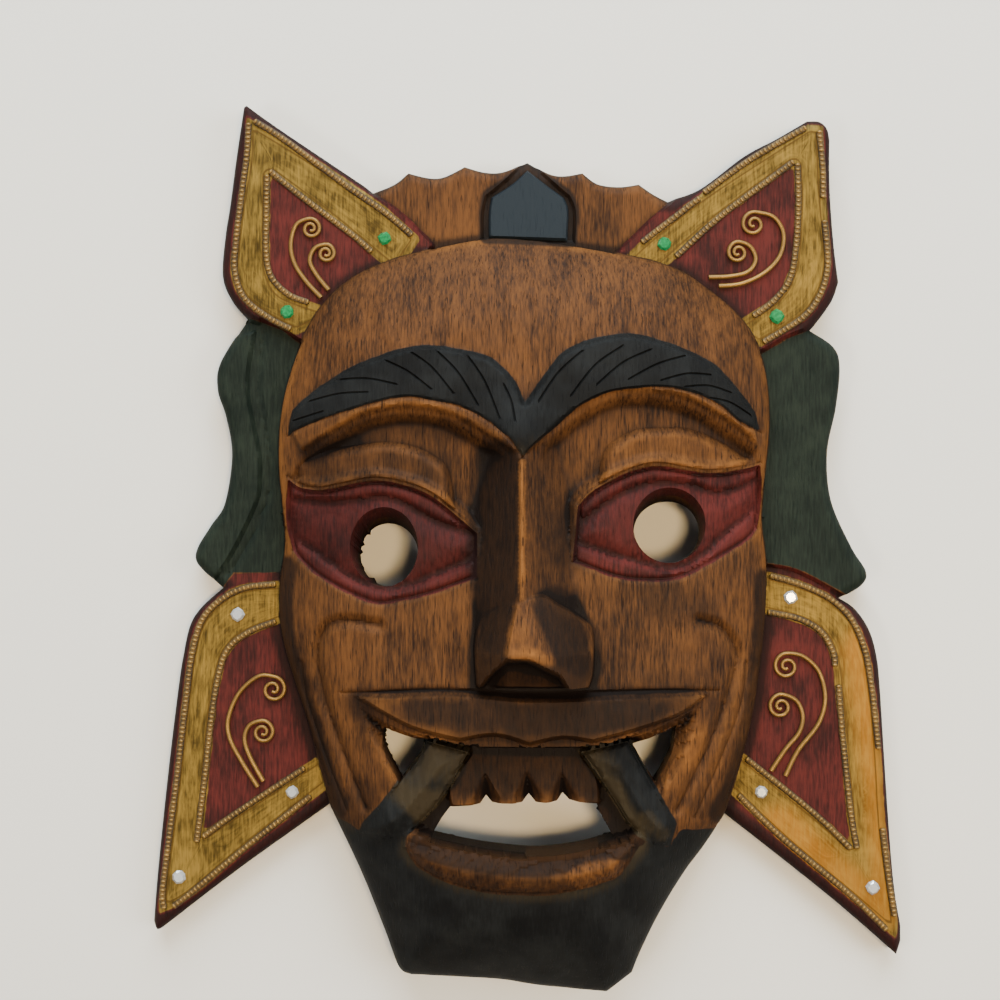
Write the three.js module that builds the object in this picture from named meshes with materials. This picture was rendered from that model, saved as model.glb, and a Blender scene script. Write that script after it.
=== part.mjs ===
// A carved wooden demon mask, lying on its flat back with the face up.
// Millimetres; +X is the viewer's right, +Y the top of the mask, +Z out of the face.
// One block of wood carries the whole carving. The beaded edging, the scroll wires
// and the glass chips are separate pieces laid on the ears and on the lower flaps.
import * as THREE from 'three';

// Levels of the board, measured from the flat back
const LOCK_TOP = 15;
const CROWN_TOP = 14;
const EAR_TOP = 17;
const FLAP_TOP = 13;
const EDGE_DROP = 3;
const EDGE_WIDTH = 3;

// The face: a pillow that rises from its border
const FACE_RIM = 18;
const FACE_ROUND = 40;
const FACE_FULL = 0.6;
const FACE_BEND = 0.0014;
const FACE_STEP = 1.2;

// Carving of the face
const BROW_RISE = 3;
const SOCKET_DEEP = 5;
const LID_RISE = 4;
const EYE_DEEP = 3;
const LID_STRIP = 1.6;
const ROOT = { x: -2.5, y: 42, wide: 11, long: 13, rise: 4.5 };
const RIDGE_X = -2.8;
const RIDGE_HALF = 0.4;
const RIDGE_TOP = 34;
const RIDGE_END = -17.5;
const BRIDGE_TOP = 46;
const BRIDGE_END = -28;
const NOSE_TOP = 52;
const NOSE_FRONT = 61;
const NOSE_TIP = 67;
const LEFT_FALL = 0.97;
const RIGHT_FALL = 0.85;
const TOP_FALL = 0.9;
const END_FALL = 1.2;
const BALL_TOP = -16.5;
const BALL_LONG = 21.5;
const BALL_STEP = 0.6;
const BALL_LEFT = [-4, -8.2];
const BALL_RIGHT = [-1, 4];
const BALL_LEFT_FALL = 1.3;
const BALL_RIGHT_FALL = 0.35;
const BALL_RIGHT_BEND = 0.022;
const BALL_TOP_FALL = 1.6;
const UNDER_FALL = 1.35;
const LIP_RISE = 4;
const MOUTH_LEVEL = 34;
const TEETH_LEVEL = 37;
const TUSK_LEVEL = 43;
const TUSK_RISE = 3;
const LOWER_LIP_RISE = 4;
const FOLD_DEEP = 2.6;
const FOLD_WIDTH = 3.5;
const GEM_RISE = 0.8;
const GEM_CHANNEL = 1.6;
const LOCK_STEP = 1.8;
const LOCK_LINE_SIDE = -60;
const LOCK_LINE_TOP = 90;

// Width over which each carved edge rises or falls
const BROW_EDGE = 1.6;
const SOCKET_EDGE = 5.5;
const LID_EDGE = 3;
const EYE_EDGE = 1.4;
const BALL_EDGE = 1.4;
const LIP_EDGE = 2.2;
const LOWER_LIP_EDGE = 4;
const MOUTH_EDGE = 2.5;
const MOUTH_SLOPE = 9;
const MOUTH_SIDE = 36;
const MOUTH_TURN = 12;
const TEETH_EDGE = 1.6;
const TEETH_OVER = 1;
const TUSK_EDGE = 3;
const PLATE_EDGE = 1.5;
const FLAP_EDGE = 1.4;

// The hollow behind the face
const HOLLOW_INSET = 14;
const HOLLOW_DEEP = 27;
const HOLLOW_ROUND = 26;
const HOLLOW_FULL = 2.5;

// Laid-on trim
const GAP = 0.3;
const BEADING_WIDTH = 2.6;
const BEADING_HEIGHT = 1.3;
const BEADING_CROWN = 0.45;
const BEADING_STEP = 9;
const WIRE = 0.9;
const WIRE_SIDES = 5;
const WIRE_STEPS = 25;
const CHIP_HEIGHT = 1.6;
const CHIP_SIDES = 8;
const CHIP_TABLE = 0.36;

// Spacing of the carving's corners
const STEP = 6;
const GRID = 10;
const GRID_CLEAR = 0.4;
const GRID_NEAR = 0.55;
const ROW_GAP = 1.25;
const BORDER_GAP = 1.6;
const FACE_ROW = 5;
const HOLE_CORNERS = 20;
const HOLLOW_STEP = 9;
const HOLLOW_ROWS = [0, 5, 12];
const HOLLOW_GRID = 18;
const HOLLOW_GAP = 3;
const HALF_WIDE = 150;
const HALF_HIGH = 176;

// Outlines: each run is a smooth curve through its points, and runs meet in corners
const CROWN = [
  [[-61.5, 141.5], [-53, 145], [-47.5, 149.5]],
  [[-47.5, 149.5], [-39, 147.5], [-33, 148], [-25, 152]],
  [[-25, 152], [-17, 149.8], [-9.5, 150], [0, 154]],
  [[0, 154], [8, 149.5], [14, 148.3], [22, 149.5]],
  [[22, 149.5], [28, 145.2], [36.5, 144], [44.5, 145]],
  [[44.5, 145], [50, 141.2], [56, 138]],
];
const EAR_RIGHT = [
  [[56, 138], [68.5, 142.5], [86, 155.5], [99, 162.5], [111, 169.5]],
  [[111, 169.5], [116, 169.3], [119, 166.5], [120, 162]],
  [[120, 162], [120, 144.5], [121.5, 122], [123.5, 105.5]],
  [[123.5, 105.5], [120.5, 97.5], [112.5, 86.5]],
];
const LOCK_RIGHT = [
  [[112.5, 86.5], [122, 80], [124.5, 72], [123, 56], [119.5, 38], [121, 19], [129, 0.5], [135, -9.5],
    [133, -15], [124.5, -20]],
];
const FLAP_RIGHT = [
  [[124.5, -20], [131, -24.5], [136.5, -32.5], [139.5, -42.5], [141, -56], [144, -103], [146.5, -134],
    [149.2, -151]],
  [[149.2, -151], [149.2, -157]],
  [[149.2, -157], [147.5, -162.5]],
  [[147.5, -162.5], [121, -139.5], [78, -105.5]],
];
const JAW = [
  [[78, -105.5], [70, -117.5], [62.5, -127.5], [52.5, -144], [45.5, -158.5], [42, -167.5]],
  [[42, -167.5], [31.5, -175.75]],
  [[31.5, -175.75], [2.5, -172.8], [-12, -170.5], [-46, -168.8]],
  [[-46, -168.8], [-51.5, -165.5], [-57, -151], [-67, -126], [-78.5, -102]],
];
const FLAP_LEFT = [
  [[-78.5, -102], [-115.5, -128.5], [-145.5, -151.5]],
  [[-145.5, -151.5], [-148, -152.5], [-149.2, -149]],
  [[-149.2, -149], [-147.5, -127.5], [-143.5, -89], [-139.5, -56], [-137.5, -43], [-134.8, -31], [-130, -23.5],
    [-121.5, -16]],
];
const LOCK_LEFT = [
  [[-121.5, -16], [-128, -10], [-132, -5], [-131.2, 0.5], [-126, 9], [-120.5, 18], [-117.7, 37], [-120, 52],
    [-123.4, 63], [-122.2, 74], [-111.5, 91]],
];
const EAR_LEFT = [
  [[-111.5, 91], [-117.5, 98.5], [-121, 108], [-120, 123.5], [-118, 136.5], [-115.5, 155.5], [-112.6, 175]],
  [[-112.6, 175], [-111.6, 175.75]],
  [[-111.6, 175.75], [-98, 166], [-61.5, 141.5]],
];
const FACE_SIDES = [
  [[-78.5, -102], [-87, -70], [-97.5, -35], [-98.5, -13.5], [-96.5, 3.5], [-99, 36], [-96.5, 61], [-88, 85.5],
    [-76.5, 101.5], [-57.5, 113], [-22, 122], [0, 122.3], [34.5, 117], [56.5, 111.5], [69.5, 104], [85, 90.5],
    [93.5, 73.5], [96, 50], [93, 13.5], [95, -10], [93, -41.5], [87, -76.5], [78, -105.5]],
];
const BROW = [
  [[-1.5, 56], [-4.5, 63], [-10, 69.5], [-18, 74.5], [-41.5, 78], [-66, 71], [-85, 60], [-92, 54]],
  [[-92, 54], [-94, 47], [-88, 36.5]],
  [[-88, 36.5], [-66, 49], [-54, 52.5], [-41.5, 53], [-29, 50], [-16.5, 43], [-2.5, 33]],
  [[-2.5, 33], [13, 48], [23, 55], [33, 59], [46.5, 59.5], [60, 56.5], [73.5, 50], [90.5, 39]],
  [[90.5, 39], [88.5, 53.5]],
  [[88.5, 53.5], [77, 66.5], [67, 74], [46.5, 81.5], [36.5, 82.5], [26.5, 81], [16.5, 77.5], [9.5, 72], [-1.5, 56]],
];
const EYE_TOP_LEFT = [[-94, 27.5], [-88.5, 24], [-80, 23], [-71, 24.5], [-59.5, 26.5], [-48, 25], [-36, 20],
  [-19.5, 6.5]];
const EYE_TOP_RIGHT = [[18.5, 16.5], [23.5, 22], [33, 27.5], [42, 31], [50.5, 32], [68, 29.5], [82.5, 31], [91, 33]];
const EYE_LEFT = [
  EYE_TOP_LEFT,
  [[-19.5, 6.5], [-19.5, -10.5]],
  [[-19.5, -10.5], [-36, -16.5], [-48, -19.5], [-59.5, -20.5], [-77, -13], [-86, -7], [-92, -1]],
  [[-92, -1], [-95, 12], [-94, 27.5]],
];
const EYE_RIGHT = [
  EYE_TOP_RIGHT,
  [[91, 33], [92, 20], [90, 7.5]],
  [[90, 7.5], [83.5, 2], [65, -8], [55.5, -11.5], [45, -12], [33, -10.5], [16.5, -4.5]],
  [[16.5, -4.5], [18.5, 16.5]],
];
const SOCKET_LEFT = [
  [[-88, 36.5], [-66, 49], [-54, 52.5], [-41.5, 53], [-29, 50], [-16.5, 43]],
  [[-16.5, 43], [-8, 36], [-7, 24], [-10, 8], [-13, -12]],
  [[-13, -12], [-19.5, -10.5]],
  [[-19.5, -10.5], [-19.5, 6.5]],
  EYE_TOP_LEFT.toReversed(),
  [[-94, 27.5], [-88, 36.5]],
];
const SOCKET_RIGHT = [
  [[13, 48], [23, 55], [33, 59], [46.5, 59.5], [60, 56.5], [73.5, 50], [90.5, 39]],
  [[90.5, 39], [91, 33]],
  EYE_TOP_RIGHT.toReversed(),
  [[18.5, 16.5], [16.5, -4.5]],
  [[16.5, -4.5], [9, -6]],
  [[9, -6], [6, 12], [4, 30], [5, 40], [13, 48]],
];
const LID_LEFT = [
  [[-90, 26], [-88, 33], [-77, 38.5], [-65, 40.5], [-53.5, 41.5], [-43, 39.5], [-36, 36], [-30.5, 31], [-27.5, 15]],
  [[-27.5, 15], [-36, 20], [-48, 25], [-59.5, 26.5], [-71, 24.5], [-80, 23], [-90, 26]],
];
const LID_RIGHT = [
  [[26, 25], [29, 38], [39, 45.5], [50.5, 47], [62, 46.5], [74, 42], [87, 35]],
  [[87, 35], [82.5, 31], [68, 29.5], [50.5, 32], [42, 31], [33, 27.5], [26, 25]],
];
const LID_STRIPS = [
  [
    EYE_TOP_LEFT,
    [[-19.5, 6.5], [-30.5, 9], [-42, 14.5], [-48, 18], [-56.5, 20], [-68.5, 18.5], [-80, 18], [-94, 19.5]],
    [[-94, 19.5], [-94, 27.5]],
  ],
  [
    EYE_TOP_RIGHT,
    [[91, 33], [90.5, 27.5]],
    [[90.5, 27.5], [80, 23], [71, 22], [62.5, 24.5], [54, 25.5], [45, 25], [36.5, 22], [27.5, 16.5], [19.5, 10]],
    [[19.5, 10], [18.5, 16.5]],
  ],
];
const NOSE_BALL = [
  [[-2.8, -18], [-10.9, -19.1], [-18.7, -24.6], [-20.9, -33.5], [-20.9, -42], [-20.2, -51.8]],
  [[-20.2, -51.8], [22.6, -51.8]],
  [[22.6, -51.8], [24.7, -45.7], [24.9, -35], [23.6, -28], [16.9, -22.4], [11.3, -19.1], [5.8, -15.7], [1, -15.9],
    [-2.8, -18]],
];
const LEFT_FOOT = [[-13.5, 32], [-19, 14], [-20, -14]];
const RIGHT_FOOT = [[11, 32], [16, 12], [16.5, -14]];
const NOSE_ARCH = [[-20.8, -53], [-17.1, -48.3], [-15, -45.2], [-12.7, -42.4], [-8.2, -38.3], [-1.4, -38.3],
  [2.1, -39.7], [7.2, -42.4], [10.9, -44.5], [14.4, -49.6], [16, -53]];
const UPPER_LIP = [
  [[-68.5, -55], [-40, -53], [-20.5, -53], [2, -54.5], [49, -53.5], [70.5, -54.5]],
  [[70.5, -54.5], [58, -62.5], [41.5, -68], [24, -72.5]],
  [[24, -72.5], [12.5, -71], [0, -73.5]],
  [[0, -73.5], [-12.5, -70], [-26, -72]],
  [[-26, -72], [-45.5, -67], [-68.5, -55]],
];
const MOUTH = [
  [[-67, -56.5], [-45.5, -67], [-26, -72], [0, -73], [24, -72.5], [41.5, -68], [68.5, -56]],
  [[68.5, -56], [65, -69.5], [59.5, -83], [52, -95], [47, -108]],
  [[47, -108], [30.5, -112], [2, -116], [-17, -114.5], [-35.5, -111], [-47, -109]],
  [[-47, -109], [-50, -93], [-57, -81], [-63, -69.5], [-67, -56.5]],
];
const TEETH = [
  [[-24, -72], [22, -72]],
  [[22, -72], [20, -78], [26, -87], [27, -97]],
  [[27, -97], [-29.5, -98]],
  [[-29.5, -98], [-30, -89], [-22, -78], [-24, -72]],
];
const TUSK_LEFT = [
  [[-39.5, -71], [-21, -76]],
  [[-21, -76], [-25, -83], [-30.6, -92.9], [-38, -102], [-46, -108], [-56, -111.5]],
  [[-56, -111.5], [-66, -110]],
  [[-66, -110], [-63, -104], [-56.3, -95.9], [-49.5, -86.9], [-43, -79], [-39.5, -71]],
];
const TUSK_RIGHT = [
  [[18, -76], [38.5, -71]],
  [[38.5, -71], [47.5, -88], [57, -104.5]],
  [[57, -104.5], [54.5, -113.5]],
  [[54.5, -113.5], [47, -112], [38, -105.5], [32.5, -97], [25.5, -86.5], [18, -76]],
];
const LOWER_LIP = [
  [[-49.5, -110.5], [-35.5, -111.5], [-17, -114.5], [2, -116.5], [20.5, -115], [30.5, -112.5], [42, -109.5]],
  [[42, -109.5], [34.5, -123], [25, -126.5], [11.5, -129.5], [-3, -130], [-17, -129], [-31, -125.5], [-42, -120],
    [-49.5, -110.5]],
];
const GEM = [
  [[-15.5, 123], [-15.5, 133], [-14.5, 139.5]],
  [[-14.5, 139.5], [-6, 145], [0, 150.5]],
  [[0, 150.5], [7, 145], [14.5, 139.5]],
  [[14.5, 139.5], [16.5, 134], [16, 122]],
  [[16, 122], [-15.5, 123]],
];
const GEM_BORDER = [
  [[-18.5, 122], [-18.5, 133], [-17, 140]],
  [[-17, 140], [-8, 147.5], [0, 157]],
  [[0, 157], [8.5, 147.5], [17, 140]],
  [[17, 140], [19.2, 134], [19, 121]],
  [[19, 121], [-18.5, 122]],
];
const LOCK_BAND = [
  [[-107.5, 87], [-110.5, 64], [-106, 39], [-105.5, 28.5], [-107, 18], [-116.5, -2], [-124, -13]],
  [[-124, -13], [-140, -8]],
  [[-140, -8], [-140, 80]],
  [[-140, 80], [-107.5, 87]],
];
const EAR_FIELDS = [
  [
    [[-61.5, 141.5], [-49.5, 133.5], [-36, 120]],
    [[-36, 120], [-60, 95], [-85, 81], [-98.5, 87], [-111, 91.5]],
    [[-111, 91.5], [-140, 100]],
    [[-140, 100], [-125, 195]],
    [[-125, 195], [-100, 195]],
    [[-100, 195], [-61.5, 141.5]],
  ],
  [
    [[56, 137.5], [47.5, 130], [33, 116]],
    [[33, 116], [60, 90], [85, 76], [104, 83.5], [112, 86.5]],
    [[112, 86.5], [140, 95]],
    [[140, 95], [135, 185]],
    [[135, 185], [100, 185]],
    [[100, 185], [56, 137.5]],
  ],
];
const FLAP_FIELDS = [
  [
    [[-121.5, -16], [-116.8, -10]],
    [[-116.8, -10], [-90, -9.5]],
    [[-90, -9.5], [-70, -95]],
    [[-70, -95], [-90, -130]],
    [[-90, -130], [-165, -165]],
    [[-165, -165], [-150, -30]],
    [[-150, -30], [-121.5, -16]],
  ],
  [
    [[88, -5.5], [106, -8], [125.5, -18]],
    [[125.5, -18], [160, -30]],
    [[160, -30], [165, -175]],
    [[165, -175], [90, -130]],
    [[90, -130], [68, -98]],
    [[68, -98], [88, -8]],
  ],
];
const CROWN_FIELD = [
  [[-70, 160], [-70, 105]],
  [[-70, 105], [66, 105]],
  [[66, 105], [66, 160]],
  [[66, 160], [-70, 160]],
];

// Folds of the cheeks, carved as grooves
const FOLDS = [
  [[-57, -28.5], [-70, -27], [-78, -30], [-81.5, -40], [-79.5, -55], [-71, -79], [-62.5, -99]],
  [[65, -27], [74, -30], [80.5, -39], [79.5, -48.5], [71.5, -70.5], [57, -99]],
];

// Openings right through the wood: front rim, then the same rim at the back
const EYE_HOLES = [
  { front: [-55.2, 1.2, 13.2, 15.2], back: [-54, -2.2, 11.3, 12.2] },
  { front: [53.8, 9.5, 14.2, 14.4], back: [54, 6.5, 13, 12] },
];
const MOUTH_HOLES = [
  [
    [[-55, -67.5], [-40, -72.5]],
    [[-40, -72.5], [-41.5, -78], [-49, -88.5]],
    [[-49, -88.5], [-53.5, -80], [-55.8, -74], [-55, -67.5]],
  ],
  [
    [[40, -74.5], [49, -70.5], [56.5, -66.5]],
    [[56.5, -66.5], [55, -77.5], [48.5, -89]],
    [[48.5, -89], [44.5, -82.5], [40, -74.5]],
  ],
  [
    [[-30, -98.5], [-18.5, -97.5]],
    [[-18.5, -97.5], [-16.3, -94.5]],
    [[-16.3, -94.5], [-14, -97]],
    [[-14, -97], [-2.4, -97]],
    [[-2.4, -97], [0.2, -94]],
    [[0.2, -94], [2.8, -96.8]],
    [[2.8, -96.8], [11, -96.4]],
    [[11, -96.4], [13.2, -93.5]],
    [[13.2, -93.5], [15.6, -96]],
    [[15.6, -96], [26, -97]],
    [[26, -97], [28.5, -102.5], [32.5, -110]],
    [[32.5, -110], [18, -113.6], [2, -115.2], [-17, -113.4], [-37, -109.5]],
    [[-37, -109.5], [-34, -104], [-30, -98.5]],
  ],
];

// The beaded edging strips, one path each
const BEADING = {
  left_ear_outer_side: [[-94, 86.8], [-103, 91.5], [-112, 99], [-115.6, 109], [-115.4, 120], [-113, 140], [-111, 155],
    [-110.2, 167.5]],
  left_ear_outer_top: [[-107.5, 168.6], [-95.5, 161], [-70.5, 142.5], [-56, 132.5], [-46, 124]],
  left_ear_inner_side: [[-87, 97.3], [-94.5, 100.3], [-101.3, 107.3], [-103.3, 116.5], [-103.3, 130], [-103, 147]],
  left_ear_inner_top: [[-101.5, 148.8], [-90, 139.5], [-69.5, 124], [-62, 117.5]],
  right_ear_outer_top_low: [[45.5, 121.2], [67.5, 138]],
  right_ear_outer_top_high: [[70, 140.8], [88, 153.6], [109.5, 166]],
  right_ear_outer_side_high: [[115.3, 164.5], [116.6, 150], [116.8, 139]],
  right_ear_outer_side_low: [[117.3, 129], [118.3, 119], [118.4, 110], [115.5, 100], [108.5, 91], [93.5, 81.6]],
  right_ear_inner_side: [[106.7, 151.5], [107, 135], [106, 119], [103.6, 106.5], [97.5, 98], [89.5, 92]],
  right_ear_inner_top: [[104.6, 152.4], [96, 146], [76, 131], [59, 115.6]],
  left_flap_outer_side: [[-100.5, -14.5], [-112, -15.8], [-121, -20], [-129, -28], [-133.2, -41], [-136, -62],
    [-139.5, -92], [-143, -119], [-145.2, -137], [-144.6, -143]],
  left_flap_outer_low: [[-140.5, -142.3], [-133, -136.5], [-109.5, -117], [-86.5, -99]],
  left_flap_inner_side: [[-100.5, -29.4], [-110.5, -33.3], [-119, -40], [-123, -51], [-126, -70], [-128.3, -91],
    [-131.5, -116.5]],
  left_flap_inner_low: [[-128.6, -114.6], [-116, -105.5], [-89, -87.8]],
  right_flap_outer_side_high: [[97, -11.2], [107, -14], [119.5, -19.6], [128.5, -27.8], [133.7, -39], [136.6, -53],
    [139.6, -79.5]],
  right_flap_outer_side_low: [[141.3, -112], [143.4, -129], [146, -146]],
  right_flap_outer_low: [[84.2, -98.6], [101, -115], [128, -137.6], [142.5, -151.5]],
  right_flap_inner_side_high: [[96, -25.6], [108, -28.2], [117, -33.5], [121.6, -41.5], [122.3, -46.5]],
  right_flap_inner_side_low: [[123.8, -55], [125.4, -75.5], [128.6, -105], [131, -119]],
  right_flap_inner_low: [[87.4, -84], [114, -105.5], [128.2, -119.2]],
};

// Scroll wires: the stem's points, then the eye about which the end winds, and the way it turns
const SCROLLS = {
  left_ear_large_scroll: [[[-81.5, 99], [-87.5, 105.5], [-92, 112.5], [-93.5, 120], [-91.5, 127.5], [-87, 130]],
    [-85.6, 126.2], -1],
  left_ear_small_scroll: [[[-78.5, 102], [-83, 107.5], [-86, 113.5], [-84, 118.5], [-79.5, 120]], [-79.6, 116.4], -1],
  right_ear_large_scroll: [[[75.5, 103.5], [84.5, 104.5], [93.5, 108.8], [99.5, 115.5], [101, 124], [97.5, 130.5],
    [91, 132.6]], [89.2, 128], 1],
  right_ear_small_scroll: [[[71.5, 107], [80, 107.4], [87, 109.2], [90, 114], [88, 119], [83.5, 121]],
    [83, 116.8], 1],
  left_flap_large_scroll: [[[-107.2, -94.8], [-113.4, -85], [-118.3, -75.5], [-118.8, -67.5], [-114.5, -57.5],
    [-107, -51], [-101, -51]], [-101, -56.2], -1],
  left_flap_small_scroll: [[[-105, -92.5], [-110, -83.5], [-112.4, -76], [-110.5, -70.5], [-105.5, -68.6]],
    [-105.2, -73.2], -1],
  right_flap_large_scroll: [[[102.5, -90.5], [107.5, -80.5], [115.5, -70], [118.3, -60], [116, -49.5], [110, -43.3],
    [103.5, -41.8]], [103, -47], 1],
  right_flap_small_scroll: [[[96.8, -88.5], [102.5, -80], [107.8, -73.5], [109.4, -67], [107, -60.8], [101.5, -58.2]],
    [100.6, -63], 1],
};
const WIND_END = 1.3;
const WIND_TURNS = 1.3;
const WIND_POINTS = 7;

// Glass chips: centre and width across
const CHIPS = {
  left_ear_upper_chip: [-56.5, 122.4, 5.2],
  left_ear_lower_chip: [-95, 93.4, 5.4],
  right_ear_upper_chip: [54, 120.3, 5.4],
  right_ear_lower_chip: [98.5, 91.6, 5.8],
  left_flap_upper_chip: [-115.2, -26.4, 5.4],
  left_flap_lower_chip: [-93.5, -97, 5],
  left_flap_tip_chip: [-138.5, -130.8, 5.4],
  right_flap_upper_chip: [104.6, -19.6, 5.4],
  right_flap_lower_chip: [93, -97, 5],
  right_flap_tip_chip: [137.3, -135, 5.4],
};

const clamp = (v) => Math.min(1, Math.max(0, v));
const ramp = (d, width) => {
  const t = clamp(d / width);
  return t * t * (3 - 2 * t);
};
const mix = (a, b, t) => a + (b - a) * t;

// A smooth run through its points, cut into even steps
function run(points, step) {
  const curve = new THREE.SplineCurve(points.map(([x, y]) => new THREE.Vector2(x, y)));
  const count = Math.max(points.length > 2 ? 2 : 1, Math.round(curve.getLength() / step));
  return curve.getSpacedPoints(count).map((p) => [p.x, p.y]);
}

function outline(runs, step) {
  return runs.flatMap((points) => run(points, step).slice(0, -1));
}

function edgeDistance(loop, x, y, closed = true) {
  let best = Infinity;
  for (let i = closed ? 0 : 1, j = closed ? loop.length - 1 : 0; i < loop.length; j = i++) {
    const [ax, ay] = loop[j];
    const dx = loop[i][0] - ax;
    const dy = loop[i][1] - ay;
    const t = clamp(((x - ax) * dx + (y - ay) * dy) / (dx * dx + dy * dy));
    best = Math.min(best, Math.hypot(x - ax - t * dx, y - ay - t * dy));
  }
  return best;
}

function contains(loop, x, y) {
  let inside = false;
  for (let i = 0, j = loop.length - 1; i < loop.length; j = i++) {
    const [ax, ay] = loop[i];
    const [bx, by] = loop[j];
    if ((ay > y) !== (by > y) && x < ((bx - ax) * (y - ay)) / (by - ay) + ax) {
      inside = !inside;
    }
  }
  return inside;
}

// Depth inside a closed outline: positive within, negative outside
const depth = (loop, x, y) => (contains(loop, x, y) ? 1 : -1) * edgeDistance(loop, x, y);

// Height along the middle of the face, from the chin up to the hairline
const PROFILE = new THREE.SplineCurve([[-176, 30], [-160, 38], [-140, 43], [-115, 46], [-75, 47], [-50, 46], [-10, 44],
  [20, 44], [50, 45], [75, 43], [100, 38], [122, 32]].map(([y, z]) => new THREE.Vector2(y, z)));
const PROFILE_POINTS = PROFILE.getPoints(120);
function profile(y) {
  const i = PROFILE_POINTS.findIndex((p) => p.x >= y);
  if (i <= 0) {
    return i < 0 ? PROFILE_POINTS.at(-1).y : PROFILE_POINTS[0].y;
  }
  const a = PROFILE_POINTS[i - 1];
  const b = PROFILE_POINTS[i];
  return mix(a.y, b.y, (y - a.x) / (b.x - a.x));
}

const SILHOUETTE = outline([...CROWN, ...EAR_RIGHT, ...LOCK_RIGHT, ...FLAP_RIGHT, ...JAW, ...FLAP_LEFT, ...LOCK_LEFT,
  ...EAR_LEFT], STEP);
const FACE = outline([...FACE_SIDES, ...JAW], STEP);
const loops = (list) => list.map((runs) => outline(runs, STEP));
const brow = outline(BROW, STEP);
const eyes = loops([EYE_LEFT, EYE_RIGHT]);
const sockets = loops([SOCKET_LEFT, SOCKET_RIGHT]);
const lids = loops([LID_LEFT, LID_RIGHT]);
const strips = loops(LID_STRIPS);
const ball = outline(NOSE_BALL, STEP);
const upperLip = outline(UPPER_LIP, STEP);
const mouth = outline(MOUTH, STEP);
const teeth = outline(TEETH, STEP);
const tusks = loops([TUSK_LEFT, TUSK_RIGHT]);
const lowerLip = outline(LOWER_LIP, STEP);
const gem = outline(GEM, STEP);
const gemBorder = outline(GEM_BORDER, STEP);
const lockBand = outline(LOCK_BAND, STEP);
const ears = loops(EAR_FIELDS);
const flaps = loops(FLAP_FIELDS);
const crown = outline(CROWN_FIELD, STEP);
const folds = FOLDS.map((points) => run(points, STEP));

// The board with ears, locks, flaps and crown
function board(x, y) {
  let z = LOCK_TOP;
  if (x < LOCK_LINE_SIDE && y < LOCK_LINE_TOP) {
    z -= LOCK_STEP * (1 - ramp(depth(lockBand, x, y), PLATE_EDGE));
  }
  z = mix(z, CROWN_TOP, contains(crown, x, y) ? 1 : 0);
  for (const loop of flaps) {
    z = mix(z, FLAP_TOP, ramp(depth(loop, x, y), FLAP_EDGE));
  }
  z -= GEM_CHANNEL * ramp(depth(gemBorder, x, y), PLATE_EDGE);
  z += (GEM_RISE + GEM_CHANNEL) * ramp(depth(gem, x, y), PLATE_EDGE);
  for (const loop of ears) {
    z = mix(z, EAR_TOP, ramp(depth(loop, x, y), PLATE_EDGE));
  }
  return z;
}

// The face's own pillow, before any carving
function pillow(x, y, inset) {
  const top = profile(y) - FACE_BEND * x * x;
  const t = clamp(inset / FACE_ROUND);
  return FACE_RIM + (top - FACE_RIM) * (1 - (1 - t) ** 2) ** FACE_FULL;
}

// A roof with a narrow ridge, from the brow down to the tip
function noseBridge(x, y) {
  const along = clamp((RIDGE_TOP - y) / (RIDGE_TOP - RIDGE_END));
  const side = x - RIDGE_X;
  const fall = (side < 0 ? LEFT_FALL : RIGHT_FALL) * Math.max(0, Math.abs(side) - RIDGE_HALF);
  const ends = TOP_FALL * Math.max(0, y - BRIDGE_TOP) + END_FALL * Math.max(0, BRIDGE_END - y);
  return mix(NOSE_TOP, NOSE_FRONT, along) - fall - ends;
}

// Height of the nose's lower edge on the sheet, above which its front begins
function archAt(x) {
  const i = Math.max(1, NOSE_ARCH.findIndex((p) => p[0] >= x));
  const [ax, ay] = NOSE_ARCH[i - 1];
  const [bx, by] = NOSE_ARCH[i];
  return x > NOSE_ARCH.at(-1)[0] ? NOSE_ARCH.at(-1)[1] : mix(ay, by, clamp((x - ax) / (bx - ax)));
}

// The nose's blunt tip: a front facet, a steep left side, a round right side and a hollow underside
function noseBall(x, y) {
  const along = clamp((BALL_TOP - y) / BALL_LONG);
  const left = Math.max(0, mix(...BALL_LEFT, along) - x);
  const right = Math.max(0, x - mix(...BALL_RIGHT, along));
  const sides = BALL_LEFT_FALL * left + BALL_RIGHT_FALL * right + BALL_RIGHT_BEND * right * right;
  const ends = BALL_TOP_FALL * Math.max(0, y - BALL_TOP) + UNDER_FALL * Math.max(0, archAt(x) - y);
  return mix(NOSE_FRONT - BALL_STEP, NOSE_TIP, along) - sides - ends;
}

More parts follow.
